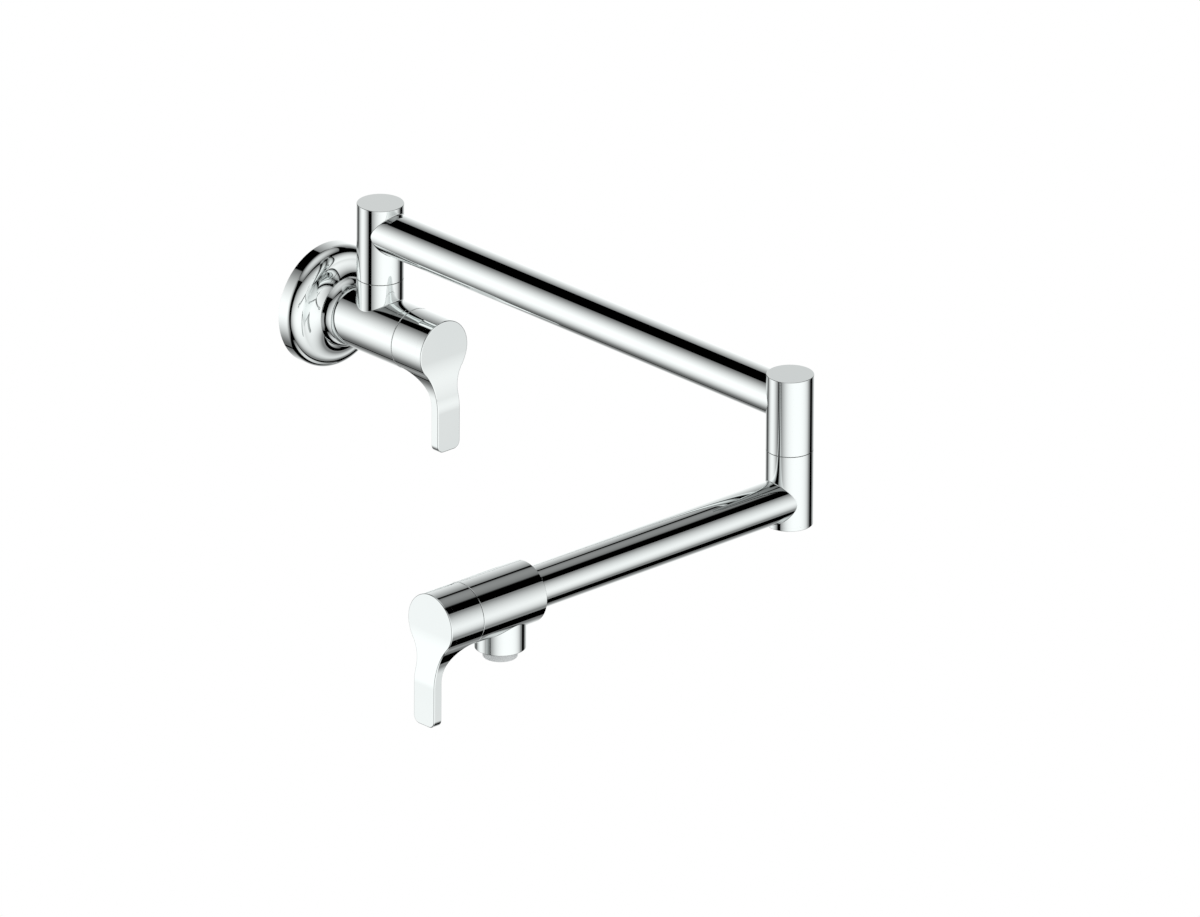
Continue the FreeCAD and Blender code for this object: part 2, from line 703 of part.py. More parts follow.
def aerator_plate():
    """Drilled plate across the ring, set back from its mouth, that breaks up the stream."""
    high = spout_drop + aerator_reach - aerator_mouth_depth
    low = high - plate_height
    plate = rod(aerator_mouth - 2 * seat_gap, low, high)
    for reach, count in plate_hole_rows:
        for index in range(count):
            base = Vector(*arc_point((0, 0), reach, 360 * index / count), low - 1)
            plate = plate.cut(Part.makeCylinder(plate_hole / 2, plate_height + 2, base))
    return plate


def aerator_mesh():
    high = spout_drop + aerator_reach - aerator_mouth_depth - plate_height - seat_gap
    return rod(aerator_mouth - 2 * loose, high - mesh_thickness, high)


def aerator_seal():
    low = spout_drop - aerator_insert
    return pipe(aerator_diameter, aerator_seal_bore, low - aerator_seal_thickness, low)


# ---- Files ---------------------------------------------------------------------------------------
def valve_parts(prefix, where):
    """Name and solid of everything inside a valve, and of its handle."""
    return {
        prefix + "_seat_seal": placed(seat_seal(), where),
        prefix + "_cartridge": placed(cartridge_shell(), where),
        prefix + "_fixed_disc": placed(fixed_disc(), where),
        prefix + "_turning_disc": placed(turning_disc(), where),
        prefix + "_spindle": placed(spindle(), where),
        prefix + "_spindle_ring": placed(spindle_ring(), where),
        prefix + "_handle": placed(handle(), where),
        prefix + "_handle_grub_screw": placed(handle_grub_screw(), where),
    }


def swivel_parts(prefix, where):
    """Name and solid of everything that holds a turning post on its fixed post."""
    return {
        prefix + "_spigot": placed(swivel_spigot(), where),
        prefix + "_o_rings": placed(swivel_rings(), where),
        prefix + "_thrust_washer": placed(thrust_washer(), where),
        prefix + "_retaining_clip": placed(retaining_clip(), where),
        prefix + "_post_cap": placed(post_cap(), where),
    }


def all_parts():
    parts = {
        "wall_flange": placed(wall_flange(), WALL),
        "flange_seal": placed(flange_seal(), WALL),
        "mounting_plate": placed(mounting_plate(), WALL),
        "body_grub_screws": placed(body_grub_screws(), WALL),
        "wall_valve_body": placed(wall_valve_body(), WALL_VALVE),
        "wall_turning_post": placed(turning_post(-Y_AXIS), WALL_SWIVEL),
        "upper_arm_tube": upper_arm_tube(),
        "elbow_upper_post": placed(elbow_fixed_post(), ELBOW_SWIVEL),
        "elbow_lower_post": placed(turning_post(-X_AXIS), ELBOW_SWIVEL),
        "lower_arm_tube": lower_arm_tube(),
        "outlet_valve_body": placed(outlet_valve_body(), OUTLET_VALVE),
        "spout_collar": placed(spout_collar(), SPOUT),
        "aerator_ring": placed(aerator_ring(), SPOUT),
        "aerator_plate": placed(aerator_plate(), SPOUT),
        "aerator_mesh": placed(aerator_mesh(), SPOUT),
        "aerator_seal": placed(aerator_seal(), SPOUT),
    }
    parts.update(valve_parts("wall", WALL_VALVE))
    parts.update(valve_parts("outlet", OUTLET_VALVE))
    parts.update(swivel_parts("wall_swivel", WALL_SWIVEL))
    parts.update(swivel_parts("elbow_swivel", ELBOW_SWIVEL))
    return parts


def main():
    os.makedirs("parts", exist_ok=True)
    for name, shape in all_parts().items():
        solids = shape.Solids
        print(f"{name}: {len(solids)} solid(s), {shape.Volume / 1000:.2f} cm3, valid {shape.isValid()}")
        shape.exportStep(f"parts/{name}.step")


main()
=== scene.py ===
"""Looks of the wall mounted pot filler: chrome skins, finishes, studio, floor and camera.

Lengths in the classes are millimetres in a sub-assembly's own axes, and every mesh is laid into
the metre frame of the CAD model. Each shown surface is a grid of points with its exact normals.
"""
import json
import logging
import math
from dataclasses import dataclass, field
from enum import Enum
from typing import Any, Iterable, Sequence

import bmesh
import bpy
import numpy as np
from mathutils import Matrix, Vector


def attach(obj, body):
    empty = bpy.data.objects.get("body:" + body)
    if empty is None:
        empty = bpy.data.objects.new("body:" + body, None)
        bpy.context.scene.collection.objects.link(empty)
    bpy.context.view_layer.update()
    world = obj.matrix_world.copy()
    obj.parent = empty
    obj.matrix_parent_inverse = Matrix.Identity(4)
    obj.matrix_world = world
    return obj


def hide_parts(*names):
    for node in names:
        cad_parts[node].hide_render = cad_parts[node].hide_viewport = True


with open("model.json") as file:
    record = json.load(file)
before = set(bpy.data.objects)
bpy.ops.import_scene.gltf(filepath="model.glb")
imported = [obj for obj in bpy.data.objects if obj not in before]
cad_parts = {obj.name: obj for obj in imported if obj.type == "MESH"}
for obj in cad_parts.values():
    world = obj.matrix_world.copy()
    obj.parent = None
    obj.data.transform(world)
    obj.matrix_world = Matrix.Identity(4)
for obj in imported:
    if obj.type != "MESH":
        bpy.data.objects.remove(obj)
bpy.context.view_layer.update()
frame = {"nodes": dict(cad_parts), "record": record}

LOG = logging.getLogger("pot_filler")
MM = 0.001
COLUMNS = 192
HAIR = 0.01
ARC_STEP = 9
LEAST_ARC_POINTS = 4
SWELL_POINTS = 28
SADDLE_ROWS = 9
CAP_INSET = 0.6
WELD = 5e-7
TINY = 1e-9


# ---- Places ------------------------------------------------------------------------------------
@dataclass(frozen=True)
class Place:
    """Where a sub-assembly's own axes lie in the frame, in millimetres."""

    origin: tuple[float, float, float]
    across: tuple[float, float, float]
    up: tuple[float, float, float]
    along: tuple[float, float, float]

    def points(self, local: np.ndarray) -> np.ndarray:
        """Frame points in metres of an array of local points."""
        return (np.asarray(self.origin) + self.directions(local)) * MM

    def directions(self, local: np.ndarray) -> np.ndarray:
        """Frame directions of an array of local directions."""
        return local @ np.array([self.across, self.up, self.along], float)


WALL_TO_POST = 42.7
UPPER_SPAN = 318.0
LOWER_SPAN = 207.5
ARM_RISE = 55.0
SEAM_HEIGHT = 27.5
ELBOW_OUT = WALL_TO_POST + UPPER_SPAN
POST_RADIUS = 12.7
ARM_RADIUS = 11.6
VALVE_RADIUS = 17.0
TURNING_POST_END = 42.5
HALF_SEAM = 0.15
PASSAGE = 6.5
INLET = 9.15
BODY_SHOULDER = -30.7
BODY_BACK = -40.15
INLET_END = -24.15
BODY_SPIGOT = 15.0
OUTLET_TAIL = -17.75
ARM_SOCKET = 11.65
ARM_SOCKET_END = -13.75

WALL = Place((0, 0, 0), (1, 0, 0), (0, 0, 1), (0, -1, 0))
WALL_VALVE = Place((0, -WALL_TO_POST, 0), (1, 0, 0), (0, 0, 1), (0, -1, 0))
OUTLET_VALVE = Place((-LOWER_SPAN, -ELBOW_OUT, 0), (0, -1, 0), (0, 0, 1), (-1, 0, 0))
WALL_SWIVEL = Place((0, -WALL_TO_POST, SEAM_HEIGHT), (1, 0, 0), (0, 1, 0), (0, 0, 1))
ELBOW_SWIVEL = Place((0, -ELBOW_OUT, SEAM_HEIGHT), (1, 0, 0), (0, -1, 0), (0, 0, -1))
SPOUT = Place((-LOWER_SPAN, -ELBOW_OUT, 0), (1, 0, 0), (0, -1, 0), (0, 0, -1))
UPPER_ARM = Place((0, -WALL_TO_POST, ARM_RISE), (1, 0, 0), (0, 0, 1), (0, -1, 0))
LOWER_ARM = Place((0, -ELBOW_OUT, 0), (0, -1, 0), (0, 0, 1), (-1, 0, 0))
WALL_STUB = Place((0, -WALL_TO_POST, 0), (1, 0, 0), (0, 1, 0), (0, 0, 1))


# ---- Lines and skins ---------------------------------------------------------------------------
@dataclass(frozen=True)
class Corner:
    """A corner of a section line, with its rounding, and the swell of the run that reaches it."""

    x: float
    y: float
    rounding: float = 0.0
    swell: float = 0.0


@dataclass(frozen=True)
class SectionLine:
    """Points of a section and the unit normals that point out of the metal."""

    points: np.ndarray
    normals: np.ndarray


def section_line(corners: Sequence[Corner], closed: bool) -> SectionLine:
    """Section line through corners, on straight runs and arcs, with every corner rounded.

    A corner's arc touches both runs: it starts radius times tan(half the turn) before the corner.
    A swollen run is the arc through both ends whose middle stands off the chord by the swell.
    A corner with no rounding gets two points a hair apart, one with each run's normal.

    Args:
        corners: the corners in order, with the metal on the left of the way along them.
        closed: whether the last corner joins the first.

    Returns:
        The line, whose normals point to the right of the way along it.
    """
    count = len(corners)
    spots = np.array([(c.x, c.y) for c in corners], float)
    points: list[np.ndarray] = []
    normals: list[np.ndarray] = []

    def run_way(first: int, second: int) -> np.ndarray:
        """Unit direction from one corner to another."""
        step = spots[second % count] - spots[first % count]
        return step / np.linalg.norm(step)

    def right_of(way: np.ndarray) -> np.ndarray:
        """Unit direction to the right of a way."""
        return np.array([way[1], -way[0]])

    for index, corner in enumerate(corners):
        has_before = closed or index > 0
        has_after = closed or index < count - 1
        after = corners[(index + 1) % count]
        spot = spots[index]
        if has_before and corner.swell == 0.0:
            way_in = run_way(index - 1, index)
        if has_after:
            way_out = run_way(index, index + 1)
        if not has_before:
            points.append(spot[None])
            normals.append(right_of(way_out)[None])
        elif not has_after:
            points.append(spot[None])
            normals.append(right_of(way_in)[None])
        elif corner.rounding > 0.0:
            normal_in, normal_out = right_of(way_in), right_of(way_out)
            turn = math.atan2(way_in[0] * way_out[1] - way_in[1] * way_out[0], way_in @ way_out)
            start = spot - way_in * corner.rounding * math.tan(abs(turn) / 2)
            side = 1.0 if turn > 0 else -1.0
            centre = start - normal_in * corner.rounding * side
            steps = max(LEAST_ARC_POINTS, int(abs(math.degrees(turn)) / ARC_STEP))
            share = np.linspace(0.0, 1.0, steps)[:, None]
            blend = (np.sin((1 - share) * abs(turn)) * normal_in + np.sin(share * abs(turn)) * normal_out)
            blend /= math.sin(abs(turn))
            points.append(centre + blend * corner.rounding * side)
            normals.append(blend)
        else:
            if corner.swell == 0.0:
                points.append((spot - way_in * HAIR)[None])
                normals.append(right_of(way_in)[None])
            if after.swell == 0.0:
                points.append((spot + way_out * HAIR)[None])
                normals.append(right_of(way_out)[None])
        if has_after and after.swell != 0.0:
            arc_points, arc_normals = swollen_run(spot, spots[(index + 1) % count], after.swell)
            points.append(arc_points)
            normals.append(arc_normals)
    return SectionLine(np.concatenate(points), np.concatenate(normals))


def swollen_run(start: np.ndarray, end: np.ndarray, swell: float) -> tuple[np.ndarray, np.ndarray]:
    """Arc from start to end whose middle stands off its chord, to the right if swell is positive.

    The radius is (half chord squared + swell squared) / (2 swell).

    Args:
        start: where the run starts.
        end: where it ends.
        swell: how far its middle stands off the chord.

    Returns:
        Its points and their normals.
    """
    chord = end - start
    half = float(np.linalg.norm(chord)) / 2
    way = chord / (2 * half)
    out = np.array([way[1], -way[0]])
    radius = (half * half + swell * swell) / (2 * swell)
    centre = (start + end) / 2 + out * (swell - radius)
    spread = math.asin(half / abs(radius))
    most = spread - HAIR / abs(radius)
    angle = np.linspace(-most, most, SWELL_POINTS)[:, None]
    side = math.copysign(1.0, radius)
    lean = np.sin(angle) * way + np.cos(angle) * out * side
    return centre + lean * abs(radius), lean * side


@dataclass
class Skin:
    """Rows of points with their normals. Each row goes round, and a loop's last row joins its first."""

    points: np.ndarray
    normals: np.ndarray
    loop: bool = False

    def laid(self, place: Place) -> "Skin":
        """The same skin in the frame."""
        return Skin(place.points(self.points), place.directions(self.normals), self.loop)

    def faces(self) -> np.ndarray:
        """Four corners of every cell, turned so that the enclosed volume is positive.

        Returns:
            Four point numbers for each cell.
        """
        rows, columns = self.points.shape[:2]
        row = np.arange(rows if self.loop else rows - 1)[:, None]
        column = np.arange(columns)[None]
        next_row = (row + 1) % rows
        next_column = (column + 1) % columns
        cells = np.stack([row * columns + column, row * columns + next_column,
                          next_row * columns + next_column, next_row * columns + column], -1).reshape(-1, 4)
        spots = self.points.reshape(-1, 3)
        middle = spots.mean(0)
        a, b, c, d = (spots[cells[:, i]] - middle for i in range(4))
        volume = np.einsum("ij,ij->", a, np.cross(b, c)) + np.einsum("ij,ij->", a, np.cross(c, d))
        return cells if volume > 0 else cells[:, ::-1]


def turned(line: SectionLine, loop: bool) -> Skin:
    """Surface of revolution about the local Z axis: (x cos t, x sin t, y) for every point (x, y).

    Args:
        line: the section, as (radius, height).
        loop: whether the section is closed.

    Returns:
        The turned skin.
    """
    angle = np.linspace(0.0, 2 * math.pi, COLUMNS, endpoint=False)[None]

    def spun(pair: np.ndarray) -> np.ndarray:
        """Every (x, y) carried round the axis."""
        return np.stack([pair[:, :1] * np.cos(angle), pair[:, :1] * np.sin(angle),
                         np.repeat(pair[:, 1:], COLUMNS, 1)], -1)

    return Skin(spun(line.points), spun(line.normals), loop)


def lathe(corners: Sequence[Corner], loop: bool = True) -> Skin:
    """Turned skin of a section whose corners are (radius, height)."""
    return turned(section_line(corners, loop), loop)


@dataclass(frozen=True)
class Saddle:
    """Where a round branch stands on a round main tube, with a hollow fillet between them."""

    main: float
    branch: float
    fillet: float
    root: float

    def rows(self) -> Skin:
        """Rows from inside the main tube's wall out to where the branch is straight.

        The fillet is the path of a ball that touches both tubes. At branch angle t its centre is
        ((b + f) cos t, (b + f) sin t, sqrt((m + f)^2 - x^2)), and it touches the branch at radius b
        and the main tube at m / (m + f) of its distance from that tube's axis.

        Returns:
            A skin in axes across, along the main tube, and out along the branch.
        """
        angle = np.linspace(0.0, 2 * math.pi, COLUMNS, endpoint=False)
        ring = np.stack([np.cos(angle), np.sin(angle)], -1)
        share = np.linspace(0.0, 1.0, SADDLE_ROWS)[:, None]
        flat = share[..., None] * ring[None] * (self.branch - CAP_INSET)
        cap = np.concatenate([flat, np.sqrt(self.root ** 2 - flat[..., :1] ** 2)], -1)
        cap_normals = np.zeros_like(cap)
        cap_normals[..., 2] = -1.0
        ball = ring * (self.branch + self.fillet)
        reach = np.sqrt((self.main + self.fillet) ** 2 - ball[:, 0] ** 2)
        centre = np.column_stack([ball, reach])
        to_main = np.column_stack([ball[:, 0], np.zeros(COLUMNS), reach]) / (self.main + self.fillet)
        to_branch = np.column_stack([ring, np.zeros(COLUMNS)])
        turn = np.arccos(np.clip(np.sum(to_main * to_branch, 1), -1, 1))[None, :, None]
        part = np.linspace(0.0, 1.0, SADDLE_ROWS)[:, None, None]
        lean = (np.sin((1 - part) * turn) * to_main + np.sin(part * turn) * to_branch) / np.sin(turn)
        fillet = centre - lean * self.fillet
        return Skin(np.concatenate([cap, fillet]), np.concatenate([cap_normals, lean]))

    def start(self) -> float:
        """Furthest distance from the main tube's axis at which the fillet still shows."""
        return self.main + self.fillet


def branch_skin(saddle: Saddle, corners: Sequence[Corner], far: Saddle | None = None, span: float = 0.0) -> Skin:
    """Branch that stands on a main tube and ends in a turned section, or on a second main tube.

    Args:
        saddle: the foot of the branch.
        corners: the section of the free end, as (radius, distance from the main tube's axis).
        far: the foot at the other end, if the branch joins two main tubes.
        span: distance between the two main tubes' axes.

    Returns:
        The closed skin, in axes across, along the main tube, and out along the branch.
    """
    foot = saddle.rows()
    if far is not None:
        other = far.rows()
        flip = np.array([1.0, 1.0, -1.0])
        return Skin(np.concatenate([foot.points, (other.points * flip)[::-1] + (0, 0, span)]),
                    np.concatenate([foot.normals, (other.normals * flip)[::-1]]))
    end = turned(section_line(corners, False), False)
    return Skin(np.concatenate([foot.points, end.points]), np.concatenate([foot.normals, end.normals]))


def make_piece(name: str, skins: Iterable[Skin], body: str, replaced: Sequence[str],
               material: bpy.types.Material) -> bpy.types.Object:
    """Mesh object of one or more skins, welded, with the exact normals of the surfaces.

    Args:
        name: the piece's name.
        skins: closed skins in the frame, in metres.
        body: the CAD body it moves with.
        replaced: the CAD nodes it stands for.
        material: its finish.

    Returns:
        The object, at the origin.
    """
    points, normals, cells, offset = [], [], [], 0
    for skin in skins:
        points.append(skin.points.reshape(-1, 3))
        normals.append(skin.normals.reshape(-1, 3))
        cells.append(skin.faces() + offset)
        offset += len(points[-1])
    mesh = bpy.data.meshes.new(name)
    mesh.from_pydata(np.concatenate(points), [], np.concatenate(cells))
    facing = mesh.attributes.new("facing", "FLOAT_VECTOR", "POINT")
    facing.data.foreach_set("vector", np.concatenate(normals).astype(np.float32).ravel())
    work = bmesh.new()
    work.from_mesh(mesh)
    bmesh.ops.remove_doubles(work, verts=work.verts, dist=WELD)
    work.to_mesh(mesh)
    work.free()
    mesh.polygons.foreach_set("use_smooth", np.ones(len(mesh.polygons), bool))
    kept = np.zeros(3 * len(mesh.vertices), np.float32)
    mesh.attributes["facing"].data.foreach_get("vector", kept)
    kept = kept.reshape(-1, 3)
    kept /= np.maximum(np.linalg.norm(kept, axis=1, keepdims=True), TINY)
    mesh.attributes.remove(mesh.attributes["facing"])
    mesh.normals_split_custom_set_from_vertices(kept)
    mesh.materials.append(material)
    piece = bpy.data.objects.new(name, mesh)
    bpy.context.scene.collection.objects.link(piece)
    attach(piece, body)
    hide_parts(*replaced)
    LOG.info("%s: %d faces on %s", name, len(mesh.polygons), body)
    return piece


# ---- Shader nodes ------------------------------------------------------------------------------
class Nodes:
    """Node tree with one method that adds any node, and helpers for sums on sockets."""

    def __init__(self, tree: bpy.types.NodeTree) -> None:
        """Empties the tree."""
        tree.nodes.clear()
        self.tree = tree

    def add(self, kind: str, settings: dict[str, Any] | None = None, **inputs: Any) -> "Wire":
        """Adds a node, sets it, then feeds its sockets.

        Args:
            kind: the node's type.
            settings: its own settings, by name.
            inputs: a value or Wire for each socket, by name with _ for a space, or i and a number.

        Returns:
            The node's first enabled output.
        """
        node = self.tree.nodes.new(kind)
        for key, value in (settings or {}).items():
            setattr(node, key, value)
        for key, value in inputs.items():
            by_number = key[0] == "i" and key[1:].isdigit()
            socket = node.inputs[int(key[1:]) if by_number else key.replace("_", " ")]
            if isinstance(value, Wire):
                self.tree.links.new(value.socket, socket)
            else:
                socket.default_value = value
        outputs = [o for o in node.outputs if o.enabled]
        return Wire(self, outputs[0] if outputs else None, node)


@dataclass(frozen=True)
class Wire:
    """An output socket on which sums are written as Python expressions."""

    nodes: Nodes
    socket: Any
    node: Any

    def out(self, name: str) -> "Wire":
        """Another output of the same node."""
        return Wire(self.nodes, self.node.outputs[name], self.node)

    def out_rgba(self) -> "Wire":
        """The colour output of a Mix node."""
        return Wire(self.nodes, self.node.outputs[2], self.node)

    def sum(self, operation: str, *others: "Wire | float") -> "Wire":
        """Math node of this wire and the others."""
        fed = {f"i{i}": value for i, value in enumerate((self, *others))}
        return self.nodes.add("ShaderNodeMath", {"operation": operation}, **fed)

    def __add__(self, other: "Wire | float") -> "Wire":
        """This plus other."""
        return self.sum("ADD", other)

    __radd__ = __add__

    def __sub__(self, other: "Wire | float") -> "Wire":
        """This minus other."""
        return self.sum("SUBTRACT", other)

    def __rsub__(self, other: float) -> "Wire":
        """A number minus this."""
        return (self * -1.0) + other

    def __mul__(self, other: "Wire | float") -> "Wire":
        """This times other."""
        return self.sum("MULTIPLY", other)

    __rmul__ = __mul__

    def __truediv__(self, other: "Wire | float") -> "Wire":
        """This divided by other."""
        return self.sum("DIVIDE", other)

    def __pow__(self, other: float) -> "Wire":
        """This to a power."""
        return self.sum("POWER", other)

    def __abs__(self) -> "Wire":
        """Its size without its sign."""
        return self.sum("ABSOLUTE")

    def clipped(self) -> "Wire":
        """Held between 0 and 1.

        Returns:
            The held value.
        """
        wire = self.sum("ADD", 0.0)
        wire.node.use_clamp = True
        return wire

    def eased(self, low: float, high: float) -> "Wire":
        """Goes smoothly from 0 at low to 1 at high."""
        return self.nodes.add("ShaderNodeMapRange", {"interpolation_type": "SMOOTHSTEP"}, Value=self,
                              From_Min=low, From_Max=high)


def colour_mix(nodes: Nodes, factor: Wire, first: tuple[float, ...], second: tuple[float, ...]) -> Wire:
    """Colour between two colours."""
    mix = nodes.add("ShaderNodeMix", {"data_type": "RGBA"}, i0=factor, i6=(*first, 1.0), i7=(*second, 1.0))
    return mix.out_rgba()


# ---- Finishes ----------------------------------------------------------------------------------
class Grain(Enum):
    """How a surface was finished."""

    CLOUDS = "clouds"
    TURNING = "turning marks"
    BRUSHING = "brushing"
    MOULDING = "moulded skin"


@dataclass(frozen=True)
class Finish:
    """A surface finish: its two close colours, its gloss and its grain."""

    name: str
    colour: tuple[float, float, float]
    second: tuple[float, float, float]
    metallic: float
    roughness: float
    roughness_swing: float
    grain: Grain
    grain_scale: float
    bump: float
    coat: float = 0.0
    ior: float = 1.5

    def material(self) -> bpy.types.Material:
        """The finish as a material on Object coordinates.

        Returns:
            A material whose roughness and bump follow one grain pattern, and whose colour drifts between its two
            colours on a broader noise.
        """
        material = bpy.data.materials.new(self.name)
        material.use_nodes = True
        nodes = Nodes(material.node_tree)
        place = nodes.add("ShaderNodeTexCoord").out("Object")
        pattern = self.pattern(nodes, place)
        drift = nodes.add("ShaderNodeTexNoise", None, Vector=place, Scale=18.0, Detail=2.0)
        colour = colour_mix(nodes, drift.eased(0.35, 0.65), self.colour, self.second)
        rough = pattern * self.roughness_swing + (self.roughness - self.roughness_swing / 2)
        feeds: dict[str, Any] = {"Base_Color": colour, "Roughness": rough, "Metallic": self.metallic,
                                 "IOR": self.ior, "Coat_Weight": self.coat}
        if self.bump > 0.0:
            feeds["Normal"] = nodes.add("ShaderNodeBump", None, Strength=self.bump, Distance=0.0001, Height=pattern)
        shader = nodes.add("ShaderNodeBsdfPrincipled", None, **feeds)
        nodes.add("ShaderNodeOutputMaterial", None, Surface=shader)
        return material

    def pattern(self, nodes: Nodes, place: Wire) -> Wire:
        """Grain from 0 to 1: clouds, fine rings, long scratches or a moulded skin.

        Args:
            nodes: the material's nodes.
            place: Object coordinates.

        Returns:
            The grain.
        """
        if self.grain is Grain.TURNING:
            rings = nodes.add("ShaderNodeTexWave", {"bands_direction": "Z"}, Vector=place,
                              Scale=self.grain_scale, Distortion=0.6, Detail=1.0)
            return rings.out("Fac")
        if self.grain is Grain.BRUSHING:
            stretch = (self.grain_scale, 12.0, self.grain_scale)
            drawn = nodes.add("ShaderNodeMapping", None, Vector=place, Scale=stretch)
            return nodes.add("ShaderNodeTexNoise", None, Vector=drawn, Scale=4.0, Detail=3.0)
        detail = 5.0 if self.grain is Grain.MOULDING else 2.0
        return nodes.add("ShaderNodeTexNoise", None, Vector=place, Scale=self.grain_scale, Detail=detail)


FINISHES = {
    "chrome": Finish("polished_chrome", (0.90, 0.925, 0.92), (0.885, 0.915, 0.912), 1.0, 0.022, 0.012,
                     Grain.CLOUDS, 60.0, 0.0),
    "brass": Finish("machined_brass", (0.76, 0.60, 0.30), (0.70, 0.54, 0.26), 1.0, 0.28, 0.10,
                    Grain.TURNING, 900.0, 0.25),
    "steel": Finish("plain_steel", (0.60, 0.61, 0.62), (0.54, 0.55, 0.56), 1.0, 0.34, 0.12,
                    Grain.BRUSHING, 900.0, 0.20),
    "rubber": Finish("black_rubber", (0.030, 0.030, 0.032), (0.045, 0.045, 0.047), 0.0, 0.62, 0.15,
                     Grain.MOULDING, 900.0, 0.30),
    "ceramic": Finish("lapped_ceramic", (0.86, 0.84, 0.79), (0.82, 0.80, 0.76), 0.0, 0.18, 0.06,
                      Grain.CLOUDS, 400.0, 0.05, 0.3),
    "bearing_plastic": Finish("natural_acetal", (0.86, 0.85, 0.81), (0.82, 0.81, 0.77), 0.0, 0.42, 0.10,
                              Grain.MOULDING, 700.0, 0.15),
    "aerator_plastic": Finish("pale_grey_plastic", (0.70, 0.72, 0.722), (0.67, 0.69, 0.695), 0.0, 0.36, 0.06,
                              Grain.MOULDING, 800.0, 0.03),
}


# ---- Sub-assemblies ----------------------------------------------------------------------------
@dataclass
class Workshop:
    """The finishes as materials, and the pieces made so far."""

    materials: dict[str, bpy.types.Material] = field(default_factory=dict)
    pieces: list[bpy.types.Object] = field(default_factory=list)

    def __post_init__(self) -> None:
        """Makes one material for each slot of the record."""
        self.materials = {slot: finish.material() for slot, finish in FINISHES.items()}

    def chrome(self, name: str, body: str, replaced: Sequence[str], *skins: Skin) -> None:
        """Adds a chrome piece made of skins in the frame."""
        self.pieces.append(make_piece(name, skins, body, replaced, self.materials["chrome"]))


@dataclass
class WallFlange:
    """Round flange: straight rim, quarter round, hollow cove, and a collar that stands out over the neck."""

    rim: float = 34.0
    rim_depth: float = 6.0
    rim_round: float = 6.7
    cove_round: float = 12.5
    wall: float = 1.7
    neck: float = 18.5
    chamber: float = 20.15
    collar: float = 19.85
    collar_back: float = 17.6
    collar_edge: float = 0.35
    bevel_end: float = 19.6
    bevel: float = 17.0
    nose: float = 7.7
    bore: float = 17.15
    lip: float = 0.2

    def cove(self, inset: float, radius: float) -> tuple[float, float]:
        """Height of the hollow at a radius, and how far it dips below its chord to the crest.

        The hollow is an arc about (crest, rim_depth + rim_round + cove_round).

        Args:
            inset: distance inside the outer surface.
            radius: distance from the valve axis.

        Returns:
            The height and the dip.
        """
        crest = self.rim - self.rim_round
        size = self.cove_round + inset
        height = self.rim_depth + self.rim_round + self.cove_round - math.sqrt(size ** 2 - (crest - radius) ** 2)
        chord = math.hypot(crest - radius, height - (self.rim_depth + self.rim_round - inset))
        return height, size - math.sqrt(size ** 2 - chord ** 2 / 4)

    def build(self, shop: Workshop) -> None:
        """Turns the section about the valve axis, outside first and then the hollow behind it.

        Args:
            shop: holds the materials and keeps the pieces.
        """
        crest, top = self.rim - self.rim_round, self.rim_depth + self.rim_round
        neck_height, dip = self.cove(0.0, self.neck)
        ceiling, inner_dip = self.cove(self.wall, self.chamber)
        lean = math.radians(self.bevel)
        shoulder = self.collar - (self.bevel_end - self.collar_back - self.collar_edge) * math.tan(lean)
        nose_x = shoulder - self.nose * math.cos(lean)
        nose_y = self.bevel_end - self.nose * math.sin(lean)
        end = math.acos((self.bore + self.lip - nose_x) / self.nose)
        front = nose_y + self.nose * math.sin(end)
        inner = self.rim - self.wall
        section = [
            Corner(inner, 0.0),
            Corner(self.rim, 0.0, 0.1),
            Corner(self.rim, top, self.rim_round),
            Corner(crest - HAIR, top),
            Corner(self.neck, neck_height, swell=-dip),
            Corner(self.neck, self.collar_back),
            Corner(self.collar, self.collar_back, self.collar_edge),
            Corner(shoulder, self.bevel_end),
            Corner(self.bore + self.lip, front, swell=self.nose * (1 - math.cos((end - lean) / 2))),
            Corner(self.bore, front, 0.05),
            Corner(self.bore, ceiling),
            Corner(self.chamber, ceiling),
            Corner(crest, top - self.wall, swell=inner_dip),
            Corner(inner, top - self.wall, self.rim_round - self.wall),
        ]
        shop.chrome("wall_flange_skin", "wall_base", ["wall_flange"], lathe(section).laid(WALL))


@dataclass
class Valve:
    """Valve body: a turned barrel with the bore for its cartridge."""

    place: Place
    back: list[Corner]
    seam: float = 27.0
    edge: float = 0.28
    thread: float = 10.6
    thread_start: float = 17.5
    chamber: float = 9.15
    seat: float = -12.0

    def barrel(self) -> Skin:
        """Turned barrel: outside, seam face, stepped chamber and back end.

        Returns:
            The skin in the frame.
        """
        section = [
            *self.back[:1],
            Corner(VALVE_RADIUS, self.seam, self.edge),
            Corner(self.thread, self.seam, 0.1),
            Corner(self.thread, self.thread_start),
            Corner(self.chamber, self.thread_start),
            Corner(self.chamber, self.seat),
            Corner(PASSAGE, self.seat),
            *self.back[1:],
        ]
        return lathe(section).laid(self.place)


